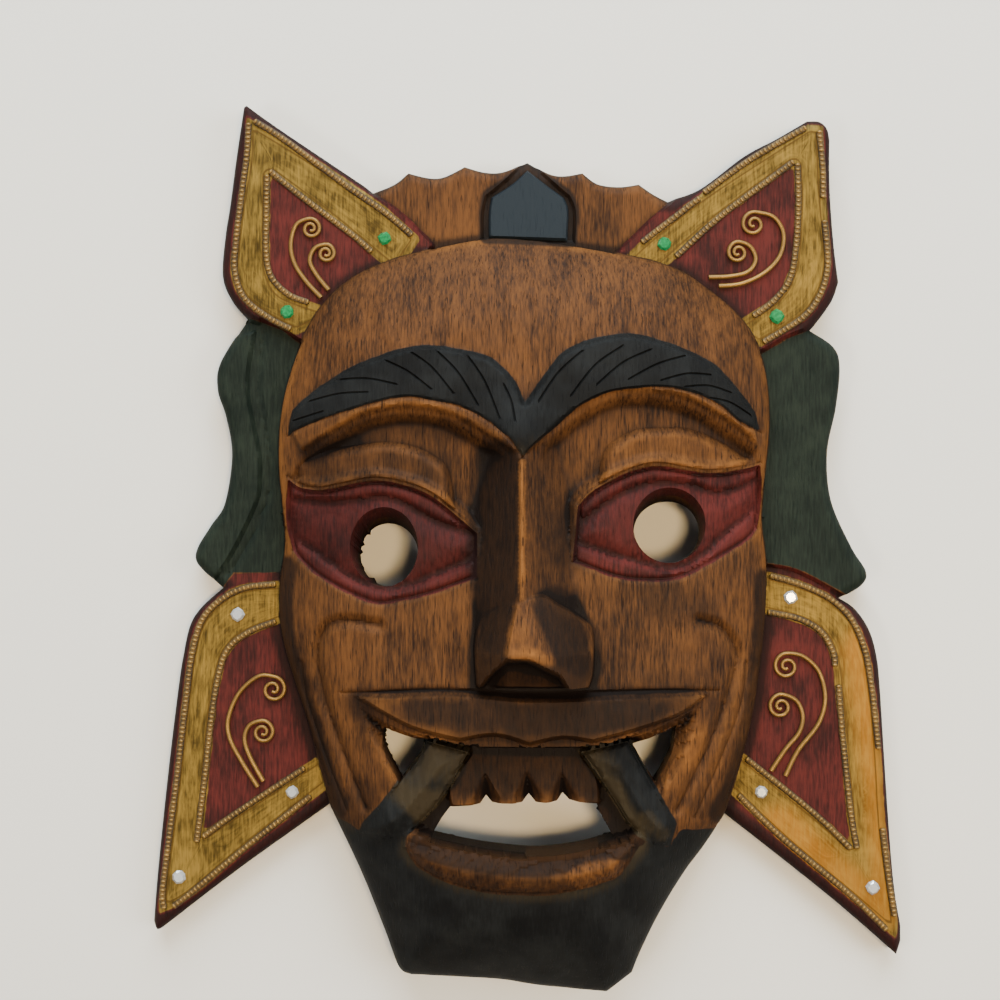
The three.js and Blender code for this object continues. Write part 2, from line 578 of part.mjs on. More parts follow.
function carving(x, y, inset) {
  const plain = pillow(x, y, inset);
  let z = plain;
  z += ROOT.rise * Math.exp(-(((x - ROOT.x) / ROOT.wide) ** 2) - ((y - ROOT.y) / ROOT.long) ** 2);
  z += BROW_RISE * ramp(depth(brow, x, y), BROW_EDGE);
  sockets.forEach((loop, i) => {
    z -= SOCKET_DEEP * ramp(depth(loop, x, y), SOCKET_EDGE);
    z += LID_RISE * ramp(depth(lids[i], x, y), LID_EDGE);
    z -= EYE_DEEP * ramp(depth(eyes[i], x, y), EYE_EDGE);
    z += LID_STRIP * ramp(depth(strips[i], x, y), EYE_EDGE);
  });
  for (const path of folds) {
    z -= FOLD_DEEP * clamp(1 - edgeDistance(path, x, y, false) / FOLD_WIDTH);
  }
  z += LIP_RISE * ramp(depth(upperLip, x, y), LIP_EDGE);
  z += LOWER_LIP_RISE * ramp(depth(lowerLip, x, y), LOWER_LIP_EDGE);
  const slope = mix(MOUTH_EDGE, MOUTH_SLOPE, ramp(Math.abs(x) - MOUTH_SIDE, MOUTH_TURN));
  const inside = ramp(depth(mouth, x, y), slope);
  z = mix(z, MOUTH_LEVEL, inside);
  z = mix(z, TEETH_LEVEL, ramp(depth(teeth, x, y) + TEETH_OVER, TEETH_EDGE) * inside);
  for (const loop of tusks) {
    z = mix(z, Math.min(TUSK_LEVEL, plain + TUSK_RISE), ramp(depth(loop, x, y), TUSK_EDGE));
  }
  z = Math.max(z, noseBridge(x, y));
  return mix(z, Math.max(z, noseBall(x, y)), ramp(depth(ball, x, y), BALL_EDGE));
}

function front(x, y) {
  const inset = depth(FACE, x, y);
  const edge = edgeDistance(SILHOUETTE, x, y);
  const drop = EDGE_DROP * (1 - Math.sqrt(clamp(edge / EDGE_WIDTH)));
  const wood = board(x, y);
  return (inset > 0 ? mix(wood, carving(x, y, inset), ramp(inset, FACE_STEP)) : wood) - drop;
}

function back(x, y) {
  const inset = depth(FACE, x, y) - HOLLOW_INSET;
  return inset <= 0 ? 0 : HOLLOW_DEEP * (1 - (1 - clamp(inset / HOLLOW_ROUND)) ** HOLLOW_FULL);
}

// Triangles between scattered points, none of whose circles holds another point
function triangulate(points) {
  const sites = points.map(([x, y], i) => [x + 1e-4 * Math.sin(12.9 * i), y + 1e-4 * Math.cos(7.3 * i)]);
  const order = sites.map((p, i) => i).sort((a, b) => sites[a][0] - sites[b][0]);
  const far = 1e4;
  const n = sites.length;
  sites.push([-far, -far], [far, -far], [0, far]);
  const circle = (a, b, c) => {
    const [ax, ay] = sites[a];
    const bx = sites[b][0] - ax;
    const by = sites[b][1] - ay;
    const cx = sites[c][0] - ax;
    const cy = sites[c][1] - ay;
    const d = 2 * (bx * cy - by * cx);
    const ux = (cy * (bx * bx + by * by) - by * (cx * cx + cy * cy)) / d;
    const uy = (bx * (cx * cx + cy * cy) - cx * (bx * bx + by * by)) / d;
    return { v: [a, b, c], x: ax + ux, y: ay + uy, r: ux * ux + uy * uy };
  };
  let open = [circle(n, n + 1, n + 2)];
  const done = [];
  for (const i of order) {
    const [px, py] = sites[i];
    const sides = new Map();
    const kept = [];
    for (const t of open) {
      const dx = px - t.x;
      const dy = py - t.y;
      if (dx > 0 && dx * dx > t.r) {
        done.push(t);
      } else if (dx * dx + dy * dy < t.r) {
        t.v.forEach((a, k) => {
          const b = t.v[(k + 1) % 3];
          const key = a < b ? `${a},${b}` : `${b},${a}`;
          sides.set(key, sides.has(key) ? null : [a, b]);
        });
      } else {
        kept.push(t);
      }
    }
    for (const side of sides.values()) {
      if (side) {
        kept.push(circle(side[0], side[1], i));
      }
    }
    open = kept;
  }
  return [...done, ...open].map((t) => t.v).filter((v) => v.every((i) => i < n)).map(([a, b, c]) => {
    const turn = (points[b][0] - points[a][0]) * (points[c][1] - points[a][1])
      - (points[b][1] - points[a][1]) * (points[c][0] - points[a][0]);
    return turn > 0 ? [a, b, c] : [a, c, b];
  });
}

// Points for one sheet of the wood: its borders first, then rows along the carving, then a loose grid
function scatter(borders, rows, grid, keep) {
  const points = borders.flat();
  const cell = 3;
  const cells = new Map();
  const key = (x, y) => `${Math.floor(x / cell)},${Math.floor(y / cell)}`;
  const put = (p) => {
    const k = key(...p);
    cells.set(k, [...(cells.get(k) ?? []), p]);
  };
  const near = (x, y, gap) => {
    const reach = Math.ceil(gap / cell);
    for (let i = -reach; i <= reach; i++) {
      for (let j = -reach; j <= reach; j++) {
        const list = cells.get(key(x + i * cell, y + j * cell)) ?? [];
        if (list.some((p) => Math.hypot(p[0] - x, p[1] - y) < gap)) {
          return true;
        }
      }
    }
    return false;
  };
  const clear = (x, y, gap) => borders.every((loop, i) => {
    const d = depth(loop, x, y);
    return i === 0 ? d > gap : d < -gap;
  });
  points.forEach(put);
  for (const [x, y] of rows) {
    if (!near(x, y, keep) && clear(x, y, BORDER_GAP)) {
      points.push([x, y]);
      put([x, y]);
    }
  }
  const rise = grid * Math.sqrt(0.75);
  for (let j = 0, y = -HALF_HIGH; y < HALF_HIGH; y += rise, j++) {
    for (let x = -HALF_WIDE + (j % 2) * grid / 2; x < HALF_WIDE; x += grid) {
      if (clear(x, y, grid * GRID_CLEAR) && !near(x, y, grid * GRID_NEAR)) {
        points.push([x, y]);
        put([x, y]);
      }
    }
  }
  return points;
}

// A row of points beside an outline, shifted inwards
function beside(loop, shift, closed = true) {
  const n = loop.length;
  return loop.flatMap((p, i) => {
    const a = loop[closed ? (i + n - 1) % n : Math.max(0, i - 1)];
    const b = loop[closed ? (i + 1) % n : Math.min(n - 1, i + 1)];
    const l = Math.hypot(b[0] - a[0], b[1] - a[1]);
    const nx = (b[1] - a[1]) / l;
    const ny = (a[0] - b[0]) / l;
    const both = [[p[0] + nx * shift, p[1] + ny * shift], [p[0] - nx * shift, p[1] - ny * shift]];
    return closed ? both.filter(([x, y]) => depth(loop, x, y) > 0.6 * shift) : both;
  });
}

const ellipse = ([x, y, a, b], count) => Array.from({ length: count }, (_, i) => {
  const t = (2 * Math.PI * i) / count;
  return [x + a * Math.cos(t), y + b * Math.sin(t)];
});

function carvedBody() {
  const openings = [
    ...EYE_HOLES.map(({ front: f, back: b }) => [ellipse(f, HOLE_CORNERS), ellipse(b, HOLE_CORNERS)]),
    ...MOUTH_HOLES.map((runs) => [outline(runs, STEP), outline(runs, STEP)]),
  ];
  const edges = [
    [gem, PLATE_EDGE], [gemBorder, PLATE_EDGE], [brow, BROW_EDGE], [eyes[0], EYE_EDGE], [eyes[1], EYE_EDGE],
    [sockets[0], SOCKET_EDGE], [sockets[1], SOCKET_EDGE], [lids[0], LID_EDGE], [lids[1], LID_EDGE],
    [strips[0], EYE_EDGE], [strips[1], EYE_EDGE], [ball, BALL_EDGE], [upperLip, LIP_EDGE], [tusks[0], TUSK_EDGE],
    [tusks[1], TUSK_EDGE], [lowerLip, LOWER_LIP_EDGE], [mouth, MOUTH_EDGE], [teeth, 0], [lockBand, PLATE_EDGE],
    [ears[0], PLATE_EDGE], [ears[1], PLATE_EDGE], [flaps[0], FLAP_EDGE], [flaps[1], FLAP_EDGE],
  ];
  const nose = [
    ...run([[RIDGE_X, RIDGE_TOP], [RIDGE_X, RIDGE_END]], STEP),
    ...[LEFT_FOOT, RIGHT_FOOT].flatMap((points) => run(points, STEP)),
    ...[BALL_LEFT, BALL_RIGHT].flatMap(([a, b]) => run([[a, BALL_TOP], [b, BALL_TOP - BALL_LONG]], STEP)),
    ...NOSE_ARCH,
  ];
  const rows = [
    ...nose, ...FACE, ...beside(FACE, FACE_STEP),
    ...edges.flatMap(([loop, width]) => [...loop, ...(width ? beside(loop, width) : [])]),
    ...folds.flatMap((path) => [...path, ...beside(path, FOLD_WIDTH, false)]),
    ...beside(SILHOUETTE, EDGE_WIDTH), ...beside(FACE, FACE_ROW),
  ];
  const topPoints = scatter([SILHOUETTE, ...openings.map(([f]) => f)], rows, GRID, ROW_GAP);
  const rim = outline([...FACE_SIDES, ...JAW], HOLLOW_STEP);
  const hollowRows = HOLLOW_ROWS.flatMap((d) => beside(rim, HOLLOW_INSET + d));
  const lowPoints = scatter([SILHOUETTE, ...openings.map(([, b]) => b)], hollowRows, HOLLOW_GRID, HOLLOW_GAP);
  const position = [];
  const index = [];
  const sheet = (points, borders, height, flip) => {
    const base = position.length / 3;
    points.forEach(([x, y]) => position.push(x, y, height(x, y)));
    for (const [a, b, c] of triangulate(points)) {
      const x = (points[a][0] + points[b][0] + points[c][0]) / 3;
      const y = (points[a][1] + points[b][1] + points[c][1]) / 3;
      if (borders.every((loop, i) => contains(loop, x, y) === (i === 0))) {
        index.push(...(flip ? [base + a, base + c, base + b] : [base + a, base + b, base + c]));
      }
    }
    return base;
  };
  const topBorders = [SILHOUETTE, ...openings.map(([f]) => f)];
  const lowBorders = [SILHOUETTE, ...openings.map(([, b]) => b)];
  const top = sheet(topPoints, topBorders, front, false);
  const low = sheet(lowPoints, lowBorders, back, true);
  let start = 0;
  topBorders.forEach((loop, k) => {
    const area = THREE.ShapeUtils.area(loop.map(([x, y]) => new THREE.Vector2(x, y)));
    const outward = (area > 0) === (k === 0);
    loop.forEach((_, i) => {
      const a = start + i;
      const b = start + ((i + 1) % loop.length);
      const quad = outward ? [low + a, low + b, top + b, low + a, top + b, top + a]
        : [low + b, low + a, top + a, low + b, top + a, top + b];
      index.push(...quad);
    });
    start += loop.length;
  });
  const geometry = new THREE.BufferGeometry();
  geometry.setAttribute('position', new THREE.Float32BufferAttribute(position, 3));
  geometry.setIndex(index);
  return geometry;
}

// A half-round strip laid along a path
function beading(points, level) {
  const w = BEADING_WIDTH / 2;
  const path = new THREE.CatmullRomCurve3(points.map(([x, y]) => new THREE.Vector3(x, y, level)));
  const section = new THREE.Shape([[0, -w], [0, w], [-BEADING_HEIGHT, w * BEADING_CROWN], [-BEADING_HEIGHT, -w * BEADING_CROWN]]
    .map(([x, y]) => new THREE.Vector2(x, y)));
  const steps = points.length === 2 ? 1 : Math.ceil(path.getLength() / BEADING_STEP);
  return new THREE.ExtrudeGeometry(section, { steps, extrudePath: path });
}

// A wire that follows its stem and then winds in about its eye
function scroll([stem, eye, turn], level) {
  const [x, y] = stem.at(-1);
  const start = Math.atan2(y - eye[1], x - eye[0]);
  const radius = Math.hypot(x - eye[0], y - eye[1]);
  const winding = Array.from({ length: WIND_POINTS }, (_, i) => {
    const t = (i + 1) / WIND_POINTS;
    const r = mix(radius, WIND_END, t);
    const a = start + turn * 2 * Math.PI * WIND_TURNS * t;
    return [eye[0] + r * Math.cos(a), eye[1] + r * Math.sin(a)];
  });
  const points = [...stem, ...winding].map((p) => new THREE.Vector3(p[0], p[1], level + WIRE));
  const section = new THREE.Shape(ellipse([0, 0, WIRE, WIRE], WIRE_SIDES).map((p) => new THREE.Vector2(...p)));
  const extrudePath = new THREE.CatmullRomCurve3(points);
  return new THREE.ExtrudeGeometry(section, { steps: WIRE_STEPS, extrudePath });
}

// An eight-sided chip of glass with a smaller top face
function chip([x, y, width], level) {
  const geometry = new THREE.CylinderGeometry(width * CHIP_TABLE, width / 2, CHIP_HEIGHT, CHIP_SIDES);
  geometry.rotateX(Math.PI / 2);
  return geometry.translate(x, y, level + CHIP_HEIGHT / 2);
}

const mask = new THREE.Group();
function piece(name, geometry, colour) {
  const mesh = new THREE.Mesh(geometry, new THREE.MeshStandardMaterial({ color: colour, roughness: 0.6 }));
  mesh.name = name;
  mask.add(mesh);
}
const levelFor = (name) => (name.includes('ear') ? EAR_TOP : FLAP_TOP) + GAP;

piece('mask_carving', carvedBody(), 0x73502f);
for (const [name, points] of Object.entries(BEADING)) {
  piece(`${name}_beading`, beading(points, levelFor(name)), 0xa58c4b);
}
for (const [name, wire] of Object.entries(SCROLLS)) {
  piece(name, scroll(wire, levelFor(name)), 0xb08a3c);
}
for (const [name, place] of Object.entries(CHIPS)) {
  piece(name, chip(place, levelFor(name)), name.includes('ear') ? 0x28965a : 0xe8eaec);
}

export default mask;
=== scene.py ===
# %% [markdown]
# This lesson dresses a carved wooden demon mask. The mask lies on its flat back and looks up, so the
# camera looks straight down on it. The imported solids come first, as a fixed frame: each finer piece made
# below replaces one of them and stays where it is. Drawing is in millimetres, as on a carver's sheet,
# and is turned into metres once, when a mesh is made.

# %% Load the frame
import math
import bpy
import numpy as np
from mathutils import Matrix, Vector, geometry, kdtree


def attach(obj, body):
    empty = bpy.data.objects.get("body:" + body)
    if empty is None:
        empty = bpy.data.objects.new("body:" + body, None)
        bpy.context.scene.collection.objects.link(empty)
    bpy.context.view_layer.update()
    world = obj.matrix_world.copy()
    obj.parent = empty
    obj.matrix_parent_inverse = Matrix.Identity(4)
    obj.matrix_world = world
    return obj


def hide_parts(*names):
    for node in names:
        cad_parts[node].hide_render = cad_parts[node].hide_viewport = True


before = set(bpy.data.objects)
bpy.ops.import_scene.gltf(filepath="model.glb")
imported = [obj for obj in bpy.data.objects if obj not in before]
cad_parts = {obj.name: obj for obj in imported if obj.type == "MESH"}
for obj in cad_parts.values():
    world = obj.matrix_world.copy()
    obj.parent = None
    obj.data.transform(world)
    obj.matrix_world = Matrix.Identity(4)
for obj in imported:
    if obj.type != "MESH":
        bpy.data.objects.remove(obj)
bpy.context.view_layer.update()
MM = 0.001
print("nodes in the frame:", len(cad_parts))

# %% [markdown]
# The camera stands where a person bending over the table would hold one: about 0.6 m above the floor,
# looking straight down, with the top of the mask at the top of the picture. Setting it first means that
# every later look is taken from the same place. A 55 mm lens on a 36 mm frame takes in 0.4 m of table.

# %% Set the camera
CAMERA_X, CAMERA_Y, CAMERA_HEIGHT = -10.9, 19.1, 621.0
camera_data = bpy.data.cameras.new("camera")
camera_data.lens = 55
camera_data.sensor_width = 36
camera = bpy.data.objects.new("camera", camera_data)
camera.location = (CAMERA_X * MM, CAMERA_Y * MM, CAMERA_HEIGHT * MM)
bpy.context.collection.objects.link(camera)
bpy.context.scene.camera = camera
print("camera height in mm:", CAMERA_HEIGHT)

# %% [markdown]
# The wood is one block, so its front can be described as a height over every point of the board: a
# pillow for the face, plates for the ears, locks and flaps, and carving that adds or takes away. A
# sculpted mesh would do as well, but a height drawn from outlines keeps to the sizes of the solid and
# can be read. Each outline is a list of runs; a run is a smooth curve through a few points, and runs
# meet in corners. A run begins where the one before it ends, so only the points after that corner are
# written down. These are the outlines of the board.

# %% Outlines of the board
def joined(runs):
    starts = [runs[-1][-1]] + [points[-1] for points in runs[:-1]]
    return [[start, *points] for start, points in zip(starts, runs)]


CROWN = [
    [[-53, 145], [-47.5, 149.5]], [[-39, 147.5], [-33, 148], [-25, 152]], [[-17, 149.8], [-9.5, 150], [0, 154]],
    [[8, 149.5], [14, 148.3], [22, 149.5]], [[28, 145.2], [36.5, 144], [44.5, 145]], [[50, 141.2], [56, 138]],
]
EAR_RIGHT = [
    [[68.5, 142.5], [86, 155.5], [99, 162.5], [111, 169.5]], [[116, 169.3], [119, 166.5], [120, 162]],
    [[120, 144.5], [121.5, 122], [123.5, 105.5]], [[120.5, 97.5], [112.5, 86.5]],
]
LOCK_RIGHT = [
    [[122, 80], [124.5, 72], [123, 56], [119.5, 38], [121, 19], [129, 0.5], [135, -9.5], [133, -15], [124.5, -20]],
]
FLAP_RIGHT = [
    [[131, -24.5], [136.5, -32.5], [139.5, -42.5], [141, -56], [144, -103], [146.5, -134], [149.2, -151]],
    [[149.2, -157]], [[147.5, -162.5]], [[121, -139.5], [78, -105.5]],
]
JAW = [
    [[70, -117.5], [62.5, -127.5], [52.5, -144], [45.5, -158.5], [42, -167.5]], [[31.5, -175.75]], [[2.5, -172.8],
    [-12, -170.5], [-46, -168.8]], [[-51.5, -165.5], [-57, -151], [-67, -126], [-78.5, -102]],
]
FLAP_LEFT = [
    [[-115.5, -128.5], [-145.5, -151.5]], [[-148, -152.5], [-149.2, -149]], [[-147.5, -127.5], [-143.5, -89],
    [-139.5, -56], [-137.5, -43], [-134.8, -31], [-130, -23.5], [-121.5, -16]],
]
LOCK_LEFT = [
    [[-128, -10], [-132, -5], [-131.2, 0.5], [-126, 9], [-120.5, 18], [-117.7, 37], [-120, 52], [-123.4, 63],
    [-122.2, 74], [-111.5, 91]],
]
EAR_LEFT = [
    [[-117.5, 98.5], [-121, 108], [-120, 123.5], [-118, 136.5], [-115.5, 155.5], [-112.6, 175]], [[-111.6, 175.75]],
    [[-98, 166], [-61.5, 141.5]],
]
FACE_SIDES = [
    [[-87, -70], [-97.5, -35], [-98.5, -13.5], [-96.5, 3.5], [-99, 36], [-96.5, 61], [-88, 85.5], [-76.5, 101.5],
    [-57.5, 113], [-22, 122], [0, 122.3], [34.5, 117], [56.5, 111.5], [69.5, 104], [85, 90.5], [93.5, 73.5],
    [96, 50], [93, 13.5], [95, -10], [93, -41.5], [87, -76.5], [78, -105.5]],
]
GEM = joined([
    [[-15.5, 133], [-14.5, 139.5]], [[-6, 145], [0, 150.5]], [[7, 145], [14.5, 139.5]], [[16.5, 134], [16, 122]],
    [[-15.5, 123]],
])
GEM_BORDER = joined([
    [[-18.5, 133], [-17, 140]], [[-8, 147.5], [0, 157]], [[8.5, 147.5], [17, 140]], [[19.2, 134], [19, 121]],
    [[-18.5, 122]],
])
LOCK_BAND = joined([
    [[-110.5, 64], [-106, 39], [-105.5, 28.5], [-107, 18], [-116.5, -2], [-124, -13]], [[-140, -8]], [[-140, 80]],
    [[-107.5, 87]],
])
EAR_FIELDS = [
    joined([
        [[-49.5, 133.5], [-36, 120]], [[-60, 95], [-85, 81], [-98.5, 87], [-111, 91.5]], [[-140, 100]],
        [[-125, 195]], [[-100, 195]], [[-61.5, 141.5]],
    ]),
    joined([
        [[47.5, 130], [33, 116]], [[60, 90], [85, 76], [104, 83.5], [112, 86.5]], [[140, 95]], [[135, 185]],
        [[100, 185]], [[56, 137.5]],
    ]),
]
FLAP_FIELDS = [
    joined([
        [[-116.8, -10]], [[-90, -9.5]], [[-70, -95]], [[-90, -130]], [[-165, -165]], [[-150, -30]], [[-121.5, -16]],
    ]),
    [
        [[88, -5.5], [106, -8], [125.5, -18]], [[125.5, -18], [160, -30]], [[160, -30], [165, -175]], [[165, -175],
        [90, -130]], [[90, -130], [68, -98]], [[68, -98], [88, -8]],
    ],
]
CROWN_FIELD = joined([
    [[-70, 105]], [[66, 105]], [[66, 160]], [[-70, 160]],
])
print("runs in the board's edge:", sum(map(len, (CROWN, EAR_RIGHT, LOCK_RIGHT, FLAP_RIGHT, JAW))))

# %% [markdown]
# The face has its own outlines: the brow, the eyes with their sockets and lids, the nose, the lips, the
# mouth with its teeth and tusks, and the folds of the cheeks. The left and right sides differ a little,
# as they do in hand carving, so each side is drawn for itself.

# %% Outlines of the face
BROW = joined([
    [[-4.5, 63], [-10, 69.5], [-18, 74.5], [-41.5, 78], [-66, 71], [-85, 60], [-92, 54]], [[-94, 47], [-88, 36.5]],
    [[-66, 49], [-54, 52.5], [-41.5, 53], [-29, 50], [-16.5, 43], [-2.5, 33]], [[13, 48], [23, 55], [33, 59],
    [46.5, 59.5], [60, 56.5], [73.5, 50], [90.5, 39]], [[88.5, 53.5]], [[77, 66.5], [67, 74], [46.5, 81.5],
    [36.5, 82.5], [26.5, 81], [16.5, 77.5], [9.5, 72], [-1.5, 56]],
])
EYE_TOP_LEFT = [[-94, 27.5], [-88.5, 24], [-80, 23], [-71, 24.5], [-59.5, 26.5], [-48, 25], [-36, 20],
    [-19.5, 6.5]]
EYE_TOP_RIGHT = [[18.5, 16.5], [23.5, 22], [33, 27.5], [42, 31], [50.5, 32], [68, 29.5], [82.5, 31], [91, 33]]
EYE_LEFT = joined([
    EYE_TOP_LEFT[1:],
    [[-19.5, -10.5]], [[-36, -16.5], [-48, -19.5], [-59.5, -20.5], [-77, -13], [-86, -7], [-92, -1]], [[-95, 12],
    [-94, 27.5]],
])
EYE_RIGHT = joined([
    EYE_TOP_RIGHT[1:],
    [[92, 20], [90, 7.5]], [[83.5, 2], [65, -8], [55.5, -11.5], [45, -12], [33, -10.5], [16.5, -4.5]],
    [[18.5, 16.5]],
])
SOCKET_LEFT = [
    [[-88, 36.5], [-66, 49], [-54, 52.5], [-41.5, 53], [-29, 50], [-16.5, 43]],
    [[-16.5, 43], [-8, 36], [-7, 24], [-10, 8], [-13, -12]],
    [[-13, -12], [-19.5, -10.5]],
    [[-19.5, -10.5], [-19.5, 6.5]],
    EYE_TOP_LEFT[::-1],
    [[-94, 27.5], [-88, 36.5]],
]
SOCKET_RIGHT = [
    [[13, 48], [23, 55], [33, 59], [46.5, 59.5], [60, 56.5], [73.5, 50], [90.5, 39]],
    [[90.5, 39], [91, 33]],
    EYE_TOP_RIGHT[::-1],
    [[18.5, 16.5], [16.5, -4.5]],
    [[16.5, -4.5], [9, -6]],
    [[9, -6], [6, 12], [4, 30], [5, 40], [13, 48]],
]
LID_LEFT = joined([
    [[-88, 33], [-77, 38.5], [-65, 40.5], [-53.5, 41.5], [-43, 39.5], [-36, 36], [-30.5, 31], [-27.5, 15]],
    [[-36, 20], [-48, 25], [-59.5, 26.5], [-71, 24.5], [-80, 23], [-90, 26]],
])
LID_RIGHT = joined([
    [[29, 38], [39, 45.5], [50.5, 47], [62, 46.5], [74, 42], [87, 35]], [[82.5, 31], [68, 29.5], [50.5, 32],
    [42, 31], [33, 27.5], [26, 25]],
])
LID_STRIPS = [
    [
        EYE_TOP_LEFT,
        [[-19.5, 6.5], [-30.5, 9], [-42, 14.5], [-48, 18], [-56.5, 20], [-68.5, 18.5], [-80, 18], [-94, 19.5]],
        [[-94, 19.5], [-94, 27.5]],
    ],
    [
        EYE_TOP_RIGHT,
        [[91, 33], [90.5, 27.5]],
        [[90.5, 27.5], [80, 23], [71, 22], [62.5, 24.5], [54, 25.5], [45, 25], [36.5, 22], [27.5, 16.5], [19.5, 10]],
        [[19.5, 10], [18.5, 16.5]],
    ],
]
NOSE_BALL = joined([
    [[-10.9, -19.1], [-18.7, -24.6], [-20.9, -33.5], [-20.9, -42], [-20.2, -51.8]], [[22.6, -51.8]], [[24.7, -45.7],
    [24.9, -35], [23.6, -28], [16.9, -22.4], [11.3, -19.1], [5.8, -15.7], [1, -15.9], [-2.8, -18]],
])
NOSE_ARCH = [[-20.8, -53], [-17.1, -48.3], [-15, -45.2], [-12.7, -42.4], [-8.2, -38.3], [-1.4, -38.3],
    [2.1, -39.7], [7.2, -42.4], [10.9, -44.5], [14.4, -49.6], [16, -53]]
UPPER_LIP = joined([
    [[-40, -53], [-20.5, -53], [2, -54.5], [49, -53.5], [70.5, -54.5]], [[58, -62.5], [41.5, -68], [24, -72.5]],
    [[12.5, -71], [0, -73.5]], [[-12.5, -70], [-26, -72]], [[-45.5, -67], [-68.5, -55]],
])
MOUTH = joined([
    [[-45.5, -67], [-26, -72], [0, -73], [24, -72.5], [41.5, -68], [68.5, -56]], [[65, -69.5], [59.5, -83],
    [52, -95], [47, -108]], [[30.5, -112], [2, -116], [-17, -114.5], [-35.5, -111], [-47, -109]], [[-50, -93],
    [-57, -81], [-63, -69.5], [-67, -56.5]],
])
TEETH = joined([
    [[22, -72]], [[20, -78], [26, -87], [27, -97]], [[-29.5, -98]], [[-30, -89], [-22, -78], [-24, -72]],
])
TUSK_LEFT = joined([
    [[-21, -76]], [[-25, -83], [-30.6, -92.9], [-38, -102], [-46, -108], [-56, -111.5]], [[-66, -110]],
    [[-63, -104], [-56.3, -95.9], [-49.5, -86.9], [-43, -79], [-39.5, -71]],
])
TUSK_RIGHT = joined([
    [[38.5, -71]], [[47.5, -88], [57, -104.5]], [[54.5, -113.5]], [[47, -112], [38, -105.5], [32.5, -97],
    [25.5, -86.5], [18, -76]],
])
LOWER_LIP = joined([
    [[-35.5, -111.5], [-17, -114.5], [2, -116.5], [20.5, -115], [30.5, -112.5], [42, -109.5]], [[34.5, -123],
    [25, -126.5], [11.5, -129.5], [-3, -130], [-17, -129], [-31, -125.5], [-42, -120], [-49.5, -110.5]],
])
FOLDS = [
    [[-57, -28.5], [-70, -27], [-78, -30], [-81.5, -40], [-79.5, -55], [-71, -79], [-62.5, -99]],
    [[65, -27], [74, -30], [80.5, -39], [79.5, -48.5], [71.5, -70.5], [57, -99]],
]
EYE_HOLES = [
    {"front": [-55.2, 1.2, 13.2, 15.2], "back": [-54, -2.2, 11.3, 12.2]},
    {"front": [53.8, 9.5, 14.2, 14.4], "back": [54, 6.5, 13, 12]},
]
MOUTH_HOLES = [
    joined([
        [[-40, -72.5]], [[-41.5, -78], [-49, -88.5]], [[-53.5, -80], [-55.8, -74], [-55, -67.5]],
    ]),
    joined([
        [[49, -70.5], [56.5, -66.5]], [[55, -77.5], [48.5, -89]], [[44.5, -82.5], [40, -74.5]],
    ]),
    joined([
        [[-18.5, -97.5]], [[-16.3, -94.5]], [[-14, -97]], [[-2.4, -97]], [[0.2, -94]], [[2.8, -96.8]],
        [[11, -96.4]], [[13.2, -93.5]], [[15.6, -96]], [[26, -97]], [[28.5, -102.5], [32.5, -110]], [[18, -113.6],
        [2, -115.2], [-17, -113.4], [-37, -109.5]], [[-34, -104], [-30, -98.5]],
    ]),
]
print("outlines of openings:", len(EYE_HOLES) + len(MOUTH_HOLES))

# %% [markdown]
# Finer cuts are too small for the solid and belong to this mesh alone: the strokes of the brow hair, the
# lines of the eyelids, the creases at the nose and lip, and the notches between the teeth. Each is a knife
# cut along a short path, so it needs only its points, a width and a depth.

# %% Fine cuts
BROW_STROKES = [
    [[-9.5, 62.5], [-6.8, 56.5], [-5.3, 49]], [[-24, 74.5], [-16.8, 64], [-11.2, 50]], [[-35, 75.6], [-26.8, 67.2],
    [-19.3, 55]], [[-44.2, 74.8], [-36.7, 69.2], [-28.6, 59.4]], [[-53.8, 71.8], [-45.7, 67.7], [-37, 61]],
    [[-73.5, 65], [-61.5, 65.2], [-50, 62.8]], [[-84, 57.2], [-72.5, 59.6], [-61.5, 60]], [[-91, 49.8], [-79, 53]],
    [[20.2, 75.4], [11, 67], [3.6, 56.2]], [[35.2, 77.2], [25, 70], [15.8, 58.4]], [[46, 76], [35.5, 71],
    [25.6, 62.6]], [[59.3, 73.9], [48.5, 70.5], [37.6, 64.6]], [[69.4, 66.8], [60, 67], [50, 64.3]], [[77.3, 60.3],
    [68.5, 62.6], [59.4, 62]], [[85.6, 52], [77, 56.5], [69, 58]],
]
LOWER_LIDS = [
    [[-91.5, 4.5], [-83, -0.5], [-74, -6.5], [-65.5, -11.5], [-54.5, -14.5], [-44.5, -12.5], [-30.5, -7], [-19.5, -2]],
    [[17.5, 3.5], [27.5, 0], [39, -3.5], [54, -6.5], [66, -2.5], [74, 4.5], [90, 17]],
]
UPPER_LIDS = [LID_STRIPS[0][1], LID_STRIPS[1][2]]
EYEBALLS = [
    [LOWER_LIDS[0], [[-19.5, -2], [-19.5, 6.5]], UPPER_LIDS[0], [[-94, 19.5], [-91.5, 4.5]]],
    [UPPER_LIDS[1], [[19.5, 10], [17.5, 3.5]], LOWER_LIDS[1], [[90, 17], [90.5, 27.5]]],
]
LOWER_STRIPS = [
    [LOWER_LIDS[0], [[-19.5, -2], [-19.5, -10.5]], EYE_LEFT[2], [[-92, -1], [-91.5, 4.5]]],
    [LOWER_LIDS[1], [[90, 17], [90, 7.5]], EYE_RIGHT[2], [[16.5, -4.5], [17.5, 3.5]]],
]
LID_CREASES = [[[px, py + 1] for px, py in top] for top in (EYE_TOP_LEFT, EYE_TOP_RIGHT)]
LIP_LINE = [[[-72, -54.8], [-40, -52.6], [-20.5, -52.8], [2, -53.8], [49, -52.9], [73, -54]]]
